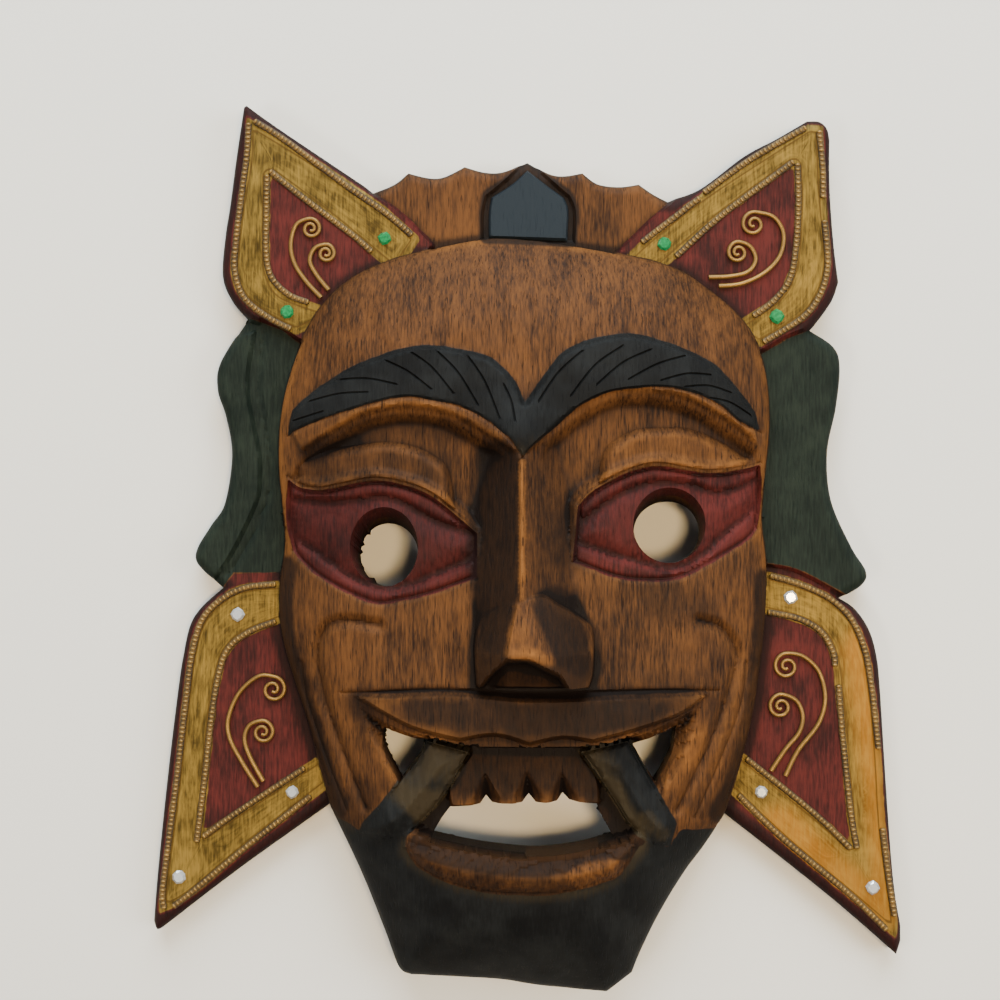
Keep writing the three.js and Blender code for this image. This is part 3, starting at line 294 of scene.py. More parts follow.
CREASES = [
    [[-98, -36], [-93, -52], [-86, -70], [-78, -92]],
    [[92, -42], [90.5, -60], [86, -76], [78, -98]],
    [[-88, -44], [-86.5, -58], [-79, -80], [-70.5, -101]],
    [[85, -44], [83, -60], [74, -82], [64, -103]],
]
BROW_HEM = [
    [[-2.5, 35], [-7.5, 42], [-16.5, 49.5], [-25.5, 54], [-35, 56.5], [-47.5, 58], [-60, 55.5], [-72.5, 52],
        [-85, 48], [-94, 44]],
    [[-2.5, 35], [3, 40.5], [9.5, 46], [19.5, 54.5], [30, 59.5], [43.5, 61.5], [53.5, 61.5], [63.5, 59.5],
        [73.5, 55], [81.5, 49], [91, 45.5]],
]
LOCK_LINES = [
    [[-104.5, 86], [-107.2, 64], [-102.8, 39], [-102.3, 28.5], [-104, 18], [-113, -2], [-119.5, -10.5]],
]
TOOTH_NOTCHES = [[[-16.6, -84.5], [-16.3, -91.5]], [[-0.8, -83.5], [-0.3, -90.5]], [[12.6, -84], [13.2, -91]]]
print("fine cuts:", sum(map(len, (BROW_STROKES, LOWER_LIDS, LID_CREASES, CREASES, LOCK_LINES, TOOTH_NOTCHES))))

# %% [markdown]
# Small helpers turn outlines into numbers. One walks a run in even steps, one tells how deep a point lies
# inside a closed outline, and one how far it is from a cut. They work on whole arrays of points, because
# the wood has tens of thousands of them.

# %% Helpers for outlines
def run(points, step):
    p = np.array(points, float)
    last = len(p) - 1
    t = np.linspace(0, last, 60 * last + 1)
    i = np.minimum(t.astype(int), last - 1)
    w = (t - i)[:, None]
    a, b, c, d = p[np.maximum(i - 1, 0)], p[i], p[i + 1], p[np.minimum(i + 2, last)]
    leave, arrive = (c - a) / 2, (d - b) / 2
    curve = (2 * b - 2 * c + leave + arrive) * w ** 3 + (3 * c - 3 * b - 2 * leave - arrive) * w ** 2 + leave * w + b
    far = np.concatenate([[0], np.cumsum(np.linalg.norm(np.diff(curve, axis=0), axis=1))])
    stops = np.linspace(0, far[-1], max(2, round(far[-1] / step)) + 1)
    return np.column_stack([np.interp(stops, far, curve[:, k]) for k in (0, 1)])


def outline(runs, step=1.0):
    return np.concatenate([run(points, step)[:-1] for points in runs])


def distance(path, x, y, closed):
    ends = np.roll(path, -1, axis=0) if closed else path[1:]
    starts = path if closed else path[:-1]
    best = np.full(len(x), np.inf)
    for (ax, ay), (bx, by) in zip(starts, ends):
        dx, dy = bx - ax, by - ay
        t = np.clip(((x - ax) * dx + (y - ay) * dy) / (dx * dx + dy * dy), 0, 1)
        np.minimum(best, (x - ax - t * dx) ** 2 + (y - ay - t * dy) ** 2, out=best)
    return np.sqrt(best)


def contains(loop, x, y):
    inside = np.zeros(len(x), bool)
    for (ax, ay), (bx, by) in zip(loop, np.roll(loop, -1, axis=0)):
        if ay != by:
            inside ^= ((ay > y) != (by > y)) & (x < (bx - ax) * (y - ay) / (by - ay) + ax)
    return inside


def near_box(path, x, y, reach):
    low, high = path.min(0) - reach, path.max(0) + reach
    return (x > low[0]) & (x < high[0]) & (y > low[1]) & (y < high[1])


def depth(loop, x, y, reach=6.0):
    result = np.full(len(x), -reach)
    pick = near_box(loop, x, y, reach)
    px, py = x[pick], y[pick]
    away = distance(loop, px, py, True)
    result[pick] = np.where(contains(loop, px, py), away, -away)
    return result


def cut(points, x, y, width, deep):
    path = run(points, 2.0)
    result = np.zeros(len(x))
    pick = near_box(path, x, y, width)
    away = distance(path, x[pick], y[pick], False)
    result[pick] = deep * np.clip(1 - away / width, 0, 1) ** 1.3
    return result


def notch(points, x, y, wide, deep):
    (tx, ty), (bx, by) = points
    down = np.clip((ty - y) / (ty - by), 0, 1.6)
    middle = mix(tx, bx, down)
    return deep * np.clip(down - np.abs(x - middle) / wide, 0, 1.6) * (y > by - 8)


def ramp(d, width):
    t = np.clip(d / width, 0, 1)
    return t * t * (3 - 2 * t)


def dome(d, width):
    return 1 - (1 - np.clip(d / width, 0, 1)) ** 2


def mix(a, b, t):
    return a + (b - a) * t


def waver(x, y, cell, seed):
    grid = np.random.default_rng(seed).uniform(-1, 1, (512, 512))
    u, v = x / cell + 200, y / cell + 200
    i, j = u.astype(int), v.astype(int)
    s, t = ramp(u - i, 1), ramp(v - j, 1)
    low = mix(grid[i % 512, j % 512], grid[(i + 1) % 512, j % 512], s)
    high = mix(grid[i % 512, (j + 1) % 512], grid[(i + 1) % 512, (j + 1) % 512], s)
    return mix(low, high, t)


SILHOUETTE = outline(joined(CROWN + EAR_RIGHT + LOCK_RIGHT + FLAP_RIGHT + JAW + FLAP_LEFT + LOCK_LEFT + EAR_LEFT))
FACE = outline(joined(FACE_SIDES + JAW))
print("points round the silhouette:", len(SILHOUETTE))

# %% [markdown]
# The height of the front is built in the carver's order. First the board with its plates and the gem on
# the crown, then the pillow of the face, then the brow, sockets, lids and eyes, the nose, the lips and
# the mouth, and last the fine cuts and a little waviness that the gouge leaves.

# %% The height of the wood
LOCK_TOP, CROWN_TOP, EAR_TOP, FLAP_TOP = 15, 14, 17, 13
EDGE_DROP, EDGE_WIDTH = 3, 3
FACE_RIM, FACE_ROUND, FACE_FULL, FACE_BEND, FACE_STEP = 18, 40, 0.6, 0.0014, 1.2
BROW_RISE, SOCKET_DEEP, LID_RISE, EYE_DEEP, LID_STRIP = 3, 5, 4, 3, 2.2
ROOT_RISE, ROOT_X, ROOT_Y, ROOT_WIDE, ROOT_LONG = 4.5, -2.5, 42, 11, 13
RIDGE_X, RIDGE_HALF, RIDGE_TOP, RIDGE_END = -2.8, 0.4, 34, -17.5
BRIDGE_TOP, BRIDGE_END, NOSE_TOP, NOSE_FRONT, NOSE_TIP = 46, -28, 52, 61, 67
LEFT_FALL, RIGHT_FALL, BALL_TOP, BALL_LONG = 0.97, 0.85, -16.5, 21.5
UNDER_DEEP, UNDER_EDGE, UNDER_FALL = 9, 4, 0.55
LIP_RISE, MOUTH_LEVEL, TEETH_LEVEL, LOWER_LIP_RISE, TUSK_LEVEL, TUSK_RISE = 4, 34, 37, 4, 43, 3
LID_ROUND, EYE_EDGE, SOCKET_EDGE, STRIP_INSET, STRIP_ROUND, BALL_RISE, BALL_ROUND = 4.5, 1.4, 5.5, 0.8, 2.0, 2.6, 9
BROW_EDGE, LIP_EDGE, LOWER_LIP_ROUND, MOUTH_EDGE, MOUTH_SLOPE, MOUTH_SIDE, MOUTH_TURN = 2.4, 2.2, 7, 1.8, 9, 36, 12
NOTCH_WIDE, NOTCH_DEEP, TUSK_EDGE, TUSK_DROP, TUSK_ROOF, NOSE_EDGE = 3.6, 3.8, 1.4, 2.5, 0.4, 1.4
FOLD_DEEP, FOLD_WIDTH, GEM_RISE, GEM_CHANNEL, LOCK_STEP = 2.6, 3.5, 0.8, 1.6, 1.8
HOLLOW_INSET, HOLLOW_DEEP, HOLLOW_ROUND, HOLLOW_FULL = 14, 27, 26, 2.5
PROFILE = [[-176, 30], [-160, 38], [-140, 43], [-115, 46], [-75, 47], [-50, 46], [-10, 44], [20, 44], [50, 45],
    [75, 43], [100, 38], [122, 32]]
profile = run(PROFILE, 2.0)
arch = np.array(NOSE_ARCH)
ear_loops = [outline(runs) for runs in EAR_FIELDS]
flap_loops = [outline(runs) for runs in FLAP_FIELDS]
lock_band, gem, gem_border, crown = map(outline, (LOCK_BAND, GEM, GEM_BORDER, CROWN_FIELD))


def board(x, y):
    band = ramp(depth(lock_band, x, y), 1.5) - 1
    z = LOCK_TOP + LOCK_STEP * band * ((x < -60) & (y < 90))
    z = np.where(contains(crown, x, y), CROWN_TOP, z)
    for loop in flap_loops:
        z = mix(z, FLAP_TOP, ramp(depth(loop, x, y), 1.4))
    z -= GEM_CHANNEL * ramp(depth(gem_border, x, y), 1.2)
    z += (GEM_RISE + GEM_CHANNEL) * ramp(depth(gem, x, y), 1.0)
    for loop in ear_loops:
        z = mix(z, EAR_TOP, ramp(depth(loop, x, y), 1.5))
    for points in LOCK_LINES:
        z -= cut(points, x, y, 1.4, 0.9)
    return z


def nose_bridge(x, y):
    ridge = mix(NOSE_TOP, NOSE_FRONT, np.clip((RIDGE_TOP - y) / (RIDGE_TOP - RIDGE_END), 0, 1))
    side = x - RIDGE_X
    fall = np.where(side < 0, LEFT_FALL, RIGHT_FALL) * np.maximum(0, np.abs(side) - RIDGE_HALF)
    ends = 0.9 * np.maximum(0, y - BRIDGE_TOP) + 1.2 * np.maximum(0, BRIDGE_END - y)
    return ridge - fall - ends


def nose_ball(x, y):
    along = np.clip((BALL_TOP - y) / BALL_LONG, 0, 1)
    left = 1.3 * np.maximum(0, mix(-4, -8.2, along) - x)
    right = np.maximum(0, x - mix(-1, 4, along))
    above = 1.6 * np.maximum(0, y - BALL_TOP)
    under = np.maximum(0, np.interp(x, arch[:, 0], arch[:, 1]) - y)
    under = UNDER_DEEP * ramp(under, UNDER_EDGE) + UNDER_FALL * under
    return mix(NOSE_FRONT - 0.6, NOSE_TIP, along) - left - 0.35 * right - 0.022 * right ** 2 - above - under


def eye_carving(z, x, y, k):
    socket, lid, eye = ((SOCKET_LEFT, LID_LEFT, EYE_LEFT), (SOCKET_RIGHT, LID_RIGHT, EYE_RIGHT))[k]
    z = z - SOCKET_DEEP * ramp(depth(outline(socket), x, y), SOCKET_EDGE)
    z += LID_RISE * dome(depth(outline(lid), x, y), LID_ROUND)
    z -= EYE_DEEP * ramp(depth(outline(eye), x, y), EYE_EDGE)
    for strip in (LID_STRIPS[k], LOWER_STRIPS[k]):
        z += LID_STRIP * dome(depth(outline(strip), x, y) - STRIP_INSET, STRIP_ROUND)
    return z + BALL_RISE * dome(depth(outline(EYEBALLS[k]), x, y, 10), BALL_ROUND)


def carving(x, y, inset):
    middle = np.interp(y, profile[:, 0], profile[:, 1]) - FACE_BEND * x * x
    plain = FACE_RIM + (middle - FACE_RIM) * dome(inset, FACE_ROUND) ** FACE_FULL
    z = plain + ROOT_RISE * np.exp(-((x - ROOT_X) / ROOT_WIDE) ** 2 - ((y - ROOT_Y) / ROOT_LONG) ** 2)
    z += BROW_RISE * ramp(depth(outline(BROW), x, y), BROW_EDGE)
    for k in (0, 1):
        z = eye_carving(z, x, y, k)
    for points in FOLDS:
        z -= cut(points, x, y, FOLD_WIDTH, FOLD_DEEP)
    z += LIP_RISE * ramp(depth(outline(UPPER_LIP), x, y), LIP_EDGE)
    z += LOWER_LIP_RISE * dome(depth(outline(LOWER_LIP), x, y, 9), LOWER_LIP_ROUND)
    slope = mix(MOUTH_EDGE, MOUTH_SLOPE, ramp(np.abs(x) - MOUTH_SIDE, MOUTH_TURN))
    inside = ramp(depth(outline(MOUTH), x, y, 12), slope)
    z = mix(z, MOUTH_LEVEL, inside)
    z = mix(z, TEETH_LEVEL, ramp(depth(outline(TEETH), x, y) + 1, 1.6) * inside)
    for points in TOOTH_NOTCHES:
        z -= notch(points, x, y, NOTCH_WIDE, NOTCH_DEEP)
    for tusk in (TUSK_LEFT, TUSK_RIGHT):
        d = depth(outline(tusk), x, y, 10)
        z = mix(z, np.minimum(TUSK_LEVEL, plain + TUSK_RISE) - TUSK_DROP + TUSK_ROOF * d, ramp(d, TUSK_EDGE))
    z = np.maximum(z, nose_bridge(x, y))
    return mix(z, np.maximum(z, nose_ball(x, y)), ramp(depth(outline(NOSE_BALL), x, y), NOSE_EDGE))


EYE_HEMS = [EYE_LEFT[2], EYE_RIGHT[2]]
FINE_CUTS = [(BROW_STROKES, 0.5, 0.8), (LID_CREASES, 1.1, 1.0), (EYE_HEMS, 0.9, 0.5), (CREASES, 1.4, 1.2),
    (LIP_LINE, 0.9, 0.8), (BROW_HEM, 1.0, 0.9)]


def front(x, y):
    inset = depth(FACE, x, y, 60.0)
    edge = distance(SILHOUETTE, x, y, True)
    carved = carving(x, y, np.maximum(inset, 0))
    for paths, width, deep in FINE_CUTS:
        for points in paths:
            carved -= cut(points, x, y, width, deep)
    carved += 0.22 * waver(x, y, 7, 1) + 0.1 * waver(x, y, 3, 2)
    z = mix(board(x, y), carved, ramp(inset, FACE_STEP))
    return z - EDGE_DROP * (1 - np.sqrt(np.clip(edge / EDGE_WIDTH, 0, 1)))


def back(x, y):
    inset = depth(FACE, x, y, 60.0) - HOLLOW_INSET
    full = 1 - (1 - np.clip(inset / HOLLOW_ROUND, 0, 1)) ** HOLLOW_FULL
    return HOLLOW_DEEP * full * (1 + 0.03 * waver(x, y, 12, 3))


print("height at the nose tip:", front(np.array([0.0]), np.array([-37.5])).round(1))

# %% [markdown]
# The wood's mesh is a sheet of triangles over the front, a plainer one over the back, and walls between
# them at the silhouette and in the openings. A regular grid would leave steps along the carved edges, so
# points are first laid along every outline and cut, and a fine lattice fills the rest. Blender's
# constrained triangulation joins them and keeps every border.

# %% Points for the wood
CARVED = [BROW, EYE_LEFT, EYE_RIGHT, LID_LEFT, LID_RIGHT, *LID_STRIPS, *LOWER_STRIPS, NOSE_BALL, UPPER_LIP, MOUTH,
    TEETH, TUSK_LEFT, TUSK_RIGHT, LOWER_LIP, GEM, GEM_BORDER, LOCK_BAND, *EAR_FIELDS, *FLAP_FIELDS]
RIDGES = [[[RIDGE_X - RIDGE_HALF, RIDGE_TOP], [RIDGE_X - RIDGE_HALF, RIDGE_END]],
    [[RIDGE_X + RIDGE_HALF, RIDGE_TOP], [RIDGE_X + RIDGE_HALF, RIDGE_END]],
    [[-4, BALL_TOP], [-8.2, BALL_TOP - BALL_LONG]], [[-1, BALL_TOP], [4, BALL_TOP - BALL_LONG]]]
HARD_EDGES = [(TUSK_LEFT, TUSK_EDGE), (TUSK_RIGHT, TUSK_EDGE), (MOUTH, MOUTH_EDGE), (UPPER_LIP, LIP_EDGE), (TEETH, 0.6),
    (NOSE_BALL, NOSE_EDGE), (EYE_LEFT, EYE_EDGE), (EYE_RIGHT, EYE_EDGE), (GEM, 1.0), (GEM_BORDER, 1.2)]
FINE, COARSE, ROW = 0.95, 1.6, 0.9


def beside(path, shift, closed=True):
    ahead = np.roll(path, -1, axis=0) if closed else np.vstack([path[1:], path[-1:]])
    behind = np.roll(path, 1, axis=0) if closed else np.vstack([path[:1], path[:-1]])
    along = ahead - behind
    side = np.column_stack([along[:, 1], -along[:, 0]]) / np.linalg.norm(along, axis=1)[:, None]
    return np.vstack([path + side * shift, path - side * shift])


def thin(points, taken, cell):
    kept = []
    for x, y in points:
        key = (math.floor(x / cell), math.floor(y / cell))
        around = [(key[0] + i, key[1] + j) for i in (-1, 0, 1) for j in (-1, 0, 1)]
        if all((x - a) ** 2 + (y - b) ** 2 > cell * cell for k in around for a, b in taken.get(k, ())):
            taken.setdefault(key, []).append((x, y))
            kept.append((x, y))
    return kept


def lattice(spacing):
    rise = spacing * math.sqrt(0.75)
    rows = np.arange(-176, 177, rise)
    columns = np.arange(-150, 150, spacing)
    x = columns[None, :] + (np.arange(len(rows)) % 2)[:, None] * spacing / 2
    return np.column_stack([x.ravel(), np.repeat(rows, len(columns))])


def clear_of(borders, points, gap):
    x, y = points[:, 0], points[:, 1]
    keep = depth(borders[0], x, y) > gap
    for loop in borders[1:]:
        keep &= depth(loop, x, y) < -gap
    return points[keep]


def ellipse(x, y, a, b, count=72):
    t = np.linspace(0, 2 * np.pi, count, endpoint=False)
    return np.column_stack([x + a * np.cos(t), y + b * np.sin(t)])


def splintered(loop, amount, seed, where):
    middle = loop.mean(0)
    out = (loop - middle) / np.linalg.norm(loop - middle, axis=1)[:, None]
    rough = np.random.default_rng(seed).uniform(0, 1, len(loop)) ** 5
    return loop - out * (amount * rough * where(loop))[:, None]


front_rims = [ellipse(*hole["front"]) for hole in EYE_HOLES] + [outline(runs) for runs in MOUTH_HOLES]
back_rims = [ellipse(*hole["back"]) for hole in EYE_HOLES] + [outline(runs) for runs in MOUTH_HOLES]
back_rims[0] = splintered(back_rims[0], 1.5, 4, lambda p: p[:, 0] < -58)
back_rims[2] = splintered(back_rims[2], 1.2, 5, lambda p: p[:, 0] < -47)
back_rims[4] = splintered(back_rims[4], 1.2, 6, lambda p: np.abs(p[:, 0]) > 27)
print("openings:", len(front_rims))

# %% Sheets and walls of the wood
def sheet(borders, cuts, rows, height):
    taken = {}
    thin(np.concatenate(borders), taken, 0.0001)
    points, edges, start = list(borders), [], 0
    for loop in borders:
        count = len(loop)
        edges += [(start + i, start + (i + 1) % count) for i in range(count)]
        start += count
    for path in cuts:
        kept = thin(clear_of(borders, path, 0.45), taken, 0.3)
        if kept:
            points.append(kept)
            edges += [(start + i, start + i + 1) for i in range(len(kept) - 1) if math.dist(kept[i], kept[i + 1]) < 2]
            start += len(kept)
    points.append(thin(clear_of(borders, np.vstack(rows), 0.45), taken, 0.62))
    points = np.vstack(points)
    made = geometry.delaunay_2d_cdt([Vector(p) for p in points], edges, [], 0, 1e-5, False)
    places = np.array([tuple(v) for v in made[0]])
    faces = np.array([f for f in made[2] if len(f) == 3])
    middle = places[faces].mean(1)
    keep = contains(borders[0], middle[:, 0], middle[:, 1])
    for loop in borders[1:]:
        keep &= ~contains(loop, middle[:, 0], middle[:, 1])
    faces = faces[keep]
    a, b, c = (places[faces[:, k]] for k in range(3))
    turn = (b - a)[:, 0] * (c - a)[:, 1] - (b - a)[:, 1] * (c - a)[:, 0]
    faces[turn < 0] = faces[turn < 0][:, ::-1]
    z = height(places[:, 0], places[:, 1])
    return np.column_stack([places, z]), faces


def find_loop(tree, loop):
    return [tree.find((p[0], p[1], 0))[1] for p in loop]


def tree_of(places):
    tree = kdtree.KDTree(len(places))
    for i, p in enumerate(places):
        tree.insert((p[0], p[1], 0), i)
    tree.balance()
    return tree


rows = [outline(runs, ROW) for runs in CARVED] + [beside(outline(runs, ROW), 1.6) for runs in CARVED]
rows += [FACE, beside(FACE, FACE_STEP), beside(SILHOUETTE, 1.0), beside(SILHOUETTE, EDGE_WIDTH)]
cuts = [run(points, ROW) for points in RIDGES] + [arch]
for paths, width, _ in FINE_CUTS:
    for points in paths:
        path = run(points, ROW)
        cuts.append(path)
        rows.append(beside(path, width, closed=False))
for runs, width in HARD_EDGES:
    loop = outline(runs, ROW)
    ring = beside(loop, width)
    inner = ring[np.abs(depth(loop, ring[:, 0], ring[:, 1]) - width) < 0.1]
    for path in (loop, inner):
        cuts.append(np.vstack([path, path[:1]]))
face_lattice = lattice(FINE)
face_lattice = face_lattice[depth(FACE, face_lattice[:, 0], face_lattice[:, 1]) > -2]
top, top_faces = sheet([SILHOUETTE, *front_rims], cuts, [*rows, face_lattice, lattice(COARSE)], front)
rim = [beside(FACE, HOLLOW_INSET + d) for d in (0, 2, 5)]
low, low_faces = sheet([SILHOUETTE, *back_rims], [], [*rim, lattice(4.0)], back)
walls = []
top_tree, low_tree = tree_of(top), tree_of(low)
for k, (upper, lower) in enumerate(zip([SILHOUETTE, *front_rims], [SILHOUETTE, *back_rims])):
    up, down = find_loop(top_tree, upper), [len(top) + i for i in find_loop(low_tree, lower)]
    area = np.sum(upper[:, 0] * np.roll(upper[:, 1], -1) - np.roll(upper[:, 0], -1) * upper[:, 1])
    if (area > 0) != (k == 0):
        up, down = up[::-1], down[::-1]
    for i in range(len(up)):
        j = (i + 1) % len(up)
        walls += [(down[i], down[j], up[j]), (down[i], up[j], up[i])]
wood_places = np.vstack([top, low])
wood_faces = np.vstack([top_faces, low_faces[:, ::-1] + len(top), np.array(walls)])
print("wood triangles:", len(wood_faces))

# %% [markdown]
# The paint follows the carving, but only roughly: a brush wanders. So the mesh carries, at every point,
# how far the point lies inside each painted area, and the material later adds its own waver to that
# distance. A second kind of number says how far a point stands above or below the wood around it. That
# is where stain and painted shade gather in the hollows, and where handling rubs the colour off the ridges.

# %% Painted areas
GOLD_BANDS = [
    (joined([
        [[-98.5, 87.5], [-109, 94], [-115, 101], [-117.4, 109], [-117.2, 117], [-114.5, 138.5], [-112, 153],
        [-111.3, 171]], [[-83.5, 154], [-57.5, 136], [-42, 122.5]], [[-60, 100], [-91.5, 84]],
    ]), joined([
        [[-91, 99.3], [-97.5, 102.5], [-100.8, 108.5], [-101.8, 117], [-101.6, 147]], [[-79.5, 130.5], [-56, 111]],
        [[-78, 95]],
    ])),
    (joined([
        [[44, 120.8], [68.5, 140.4], [111, 168]], [[117, 167]], [[118.3, 139], [120, 120], [120, 110], [117, 100],
        [110, 90.5], [91.5, 79]], [[60, 100], [38, 114]],
    ]), joined([
        [[75.5, 129], [105.2, 151]], [[105.6, 135], [104.6, 117], [102, 106.5], [96.5, 99], [80, 88]], [[52, 108.6]],
    ])),
    (joined([
        [[-112, -14.2], [-122, -18.8], [-130.4, -27.5], [-134.8, -41], [-137.6, -62], [-141, -92], [-146.8, -139],
        [-146, -145.5]], [[-134, -139.3], [-109.5, -118.8], [-78, -94.5]], [[-92, -12.8]],
    ]), joined([
        [[-110, -34.7], [-117.8, -41], [-121.6, -51], [-124.6, -70], [-128.6, -112.4]], [[-116, -104], [-78, -79]],
        [[-92, -28]],
    ])),
    (joined([
        [[107, -12.4], [120.3, -18.3], [129.8, -27], [135.2, -38.6], [138.2, -53], [141, -79.5], [143, -112],
        [147.6, -147], [146.5, -155.5]], [[128, -139.6], [101, -117], [78, -95]], [[88, -7.5]],
    ]), joined([
        [[107.5, -29.8], [115.8, -34.6], [120.1, -42], [122.3, -55], [126.9, -105], [128.6, -117]], [[114, -104],
        [78, -75]], [[88, -25]],
    ])),
]
CHIN = joined([
    [[-70, -106], [-62, -110], [-54, -110], [-46, -108]], [[-46.5, -113], [-42, -120], [-31, -125.5], [-17, -129],
    [-3, -130], [11.5, -129.5], [25, -126.5], [34.5, -123], [42, -112]], [[48, -111], [54, -113.5], [58, -107.5],
    [66, -108], [80, -110]], [[60, -190]], [[-70, -190]], [[-82, -103]],
])
print("gold bands:", len(GOLD_BANDS))

# %% [markdown]
# Stain, wear and painted light are listed here. Each touch is a path, a reach in millimetres and an amount:
# below zero darkens, as stain and painted shade; above zero lightens, as rubbing and painted highlights.

# %% Stain, wear and painted light
TOUCHES = [
    # Darker touches: painted shade on the shaded side of the nose, under it, round the mouth and teeth, under the brows
    # and on the eyes, with some stain.
    ([[-12, 34], [-12, -18]], 9, -1.1),
    ([[-14, -24], [-15, -48]], 7, -1.0),
    ([[8, 34], [9, -16]], 11, -0.55),
    ([[13, -24], [17, -46]], 9, -0.75),
    ([[-11, -46], [-2, -43], [9, -47]], 5, -1.3),
    ([[-12, -51], [12, -51]], 4, -0.9),
    ([[-60, -58], [0, -63], [60, -58]], 10, -0.55),
    ([[8, -63], [55, -60]], 8, -0.25),
    ([[-9, -56], [-5, -70]], 3, -0.4),
    ([[-22, -84], [20, -84]], 14, -0.85),
    ([[-38, -98], [-31, -108]], 7, -1.2),
    ([[30, -94], [37, -107]], 7, -1.2),
    ([[-40, -111], [0, -117.5], [36, -111.5]], 4, -1.2),
    ([[-44, -114], [-30, -122], [0, -127], [28, -123], [40, -113]], 7, -0.65),
    ([[-66, -58], [-48, -96]], 5, -0.35),
    ([[-62, -92], [-70, -104]], 8, -0.5),
    ([[62, -92], [70, -104]], 8, -0.4),
    ([[-85, 40], [-55, 48], [-25, 46]], 6, -0.6),
    ([[20, 50], [50, 54], [80, 46]], 6, -0.4),
    ([[-80, 32], [-35, 33]], 9, -0.55),
    ([[-80, 5], [-30, 2]], 20, -0.5),
    ([[22, 6], [44, 12]], 14, -0.4),
    # Lighter touches: rubbing on the nose ridge, and painted highlights on lit ridges, the right lid, the lower lip,
    # the right cheek and the right flap.
    ([[-2.8, 33], [-2.8, -17]], 1.0, 1.0),
    ([[-4.5, -22], [-2.5, -36]], 4, 0.4),
    ([[3, -37], [9, -42]], 3, 0.5),
    ([[80, -20], [82, -60], [72, -86]], 7, 0.3),
    ([[-84, -25], [-78, -60]], 7, 0.25),
    ([[68, -60], [60, -90]], 4, 0.5),
    ([[-86, 68], [-76, 92]], 6, 0.15),
    ([[84, 66], [74, 88]], 6, 0.15),
    ([[-85, 44.5], [-55, 54.5], [-28, 52]], 2.4, 0.4),
    ([[18, 52.5], [45, 60.5], [84, 46]], 2.4, 0.5),
    ([[38, 38], [76, 37]], 9, 0.35),
    ([[20, -122], [30, -119]], 5, 0.9),
    ([[135, -40], [144, -140], [100, -112]], 12, 0.6),
    # More darker touches, painted shade with some stain: beside the nose, above the lip and along the face's edges.
    ([[50, -19], [66, -24]], 9, -0.55),
    ([[8, -20], [14, -33], [16, -42]], 6, -0.8),
    ([[-40, -60], [40, -60]], 7, -0.3),
    ([[-95, -8], [-94, -35], [-84, -68], [-75, -100]], 4.5, -1.0),
    ([[92, -12], [90, -42], [84, -75], [75, -102]], 4.5, -1.0),
    ([[30, -44], [70, -42]], 8, -0.35),
    ([[-36, -78], [-46, -92]], 5, -0.7),
    ([[45, -101], [51, -108]], 3.5, -0.6),
]
BROW_BLACK = [BROW[0], [[-92, 54], [-94, 44]], BROW_HEM[0][::-1], BROW_HEM[1], [[91, 45.5], [88.5, 53.5]], BROW[5]]
x, y = wood_places[:, 0], wood_places[:, 1]
inset = depth(FACE, x, y)
ears = np.max([depth(loop, x, y) for loop in ear_loops], axis=0)
flaps = np.max([depth(loop, x, y) for loop in flap_loops], axis=0)
eyes = np.max([depth(outline(runs), x, y) for runs in (EYE_LEFT, EYE_RIGHT)], axis=0)
black = np.max([depth(outline(runs), x, y) for runs in (BROW_BLACK, GEM, CHIN, TUSK_LEFT, TUSK_RIGHT)], axis=0)
plate = np.minimum(np.maximum(ears, flaps), -inset)
locks = np.where(y < 100, np.minimum(-np.maximum(ears, flaps), -inset), -6.0)
gold = np.max([np.minimum(depth(outline(a), x, y), -depth(outline(b), x, y)) for a, b in GOLD_BANDS], axis=0)
paint = {"maroon": np.maximum(plate, eyes), "black": black, "green": locks, "gold": np.minimum(gold, plate),
    "band": gold, "gem": depth(gem, x, y)}
touch = np.zeros(len(x))
for points, reach, amount in TOUCHES:
    path = run(points, 4.0)
    pick = near_box(path, x, y, 1.5 * reach)
    away = distance(path, x[pick], y[pick], False)
    touch[pick] += amount * (1 - ramp(away - 0.4 * reach, 1.1 * reach))
paint["touch"] = touch
paint["edge"] = distance(SILHOUETTE, x, y, True)
bare = np.arange(len(x)) >= len(top)
for name in ("maroon", "black", "green", "gold", "band", "gem"):
    paint[name][bare & ((paint["edge"] > 0.01) | (name in ("gold", "band", "gem")))] = -6
# The back rims of the openings take a dark touch, so the walls inside the openings are painted in shade.
away = np.min([distance(loop, x[bare], y[bare], True) for loop in back_rims], axis=0)
paint["touch"][bare] = np.where(away < 0.1, -0.9, 0)


def walk(path, x, y):
    best, along, gone = np.full(len(x), np.inf), np.zeros(len(x)), 0.0
    for (ax, ay), (bx, by) in zip(path, np.roll(path, -1, axis=0)):
        dx, dy = bx - ax, by - ay
        t = np.clip(((x - ax) * dx + (y - ay) * dy) / (dx * dx + dy * dy), 0, 1)
        away = (x - ax - t * dx) ** 2 + (y - ay - t * dy) ** 2
        closer = away < best
        best[closer] = away[closer]
        along[closer] = gone + t[closer] * math.hypot(dx, dy)
        gone += math.hypot(dx, dy)
    return along


paint["along"] = np.zeros(len(x))
for outer, _ in GOLD_BANDS:
    loop = outline(outer, 2.0)
    pick = near_box(loop, x, y, 3)
    paint["along"][pick] = walk(loop, x[pick], y[pick])
print("painted points:", {name: int((values > 0).sum()) for name, values in paint.items()})

# %% Hollows and ridges
CELL = 1.5


def soften(grid, blur):
    reach = np.arange(-3 * blur, 3 * blur + CELL, CELL)
    kernel = np.exp(-(reach / blur) ** 2 / 2)
    for axis in (0, 1):
        grid = np.apply_along_axis(np.convolve, axis, grid, kernel, "same")
    return grid


columns, lines = np.arange(-150, 151, CELL), np.arange(-177, 178, CELL)
gx, gy = np.meshgrid(columns, lines, indexing="ij")
heights = front(gx.ravel(), gy.ravel()).reshape(gx.shape)
solid = contains(SILHOUETTE, gx.ravel(), gy.ravel()).reshape(gx.shape).astype(float)


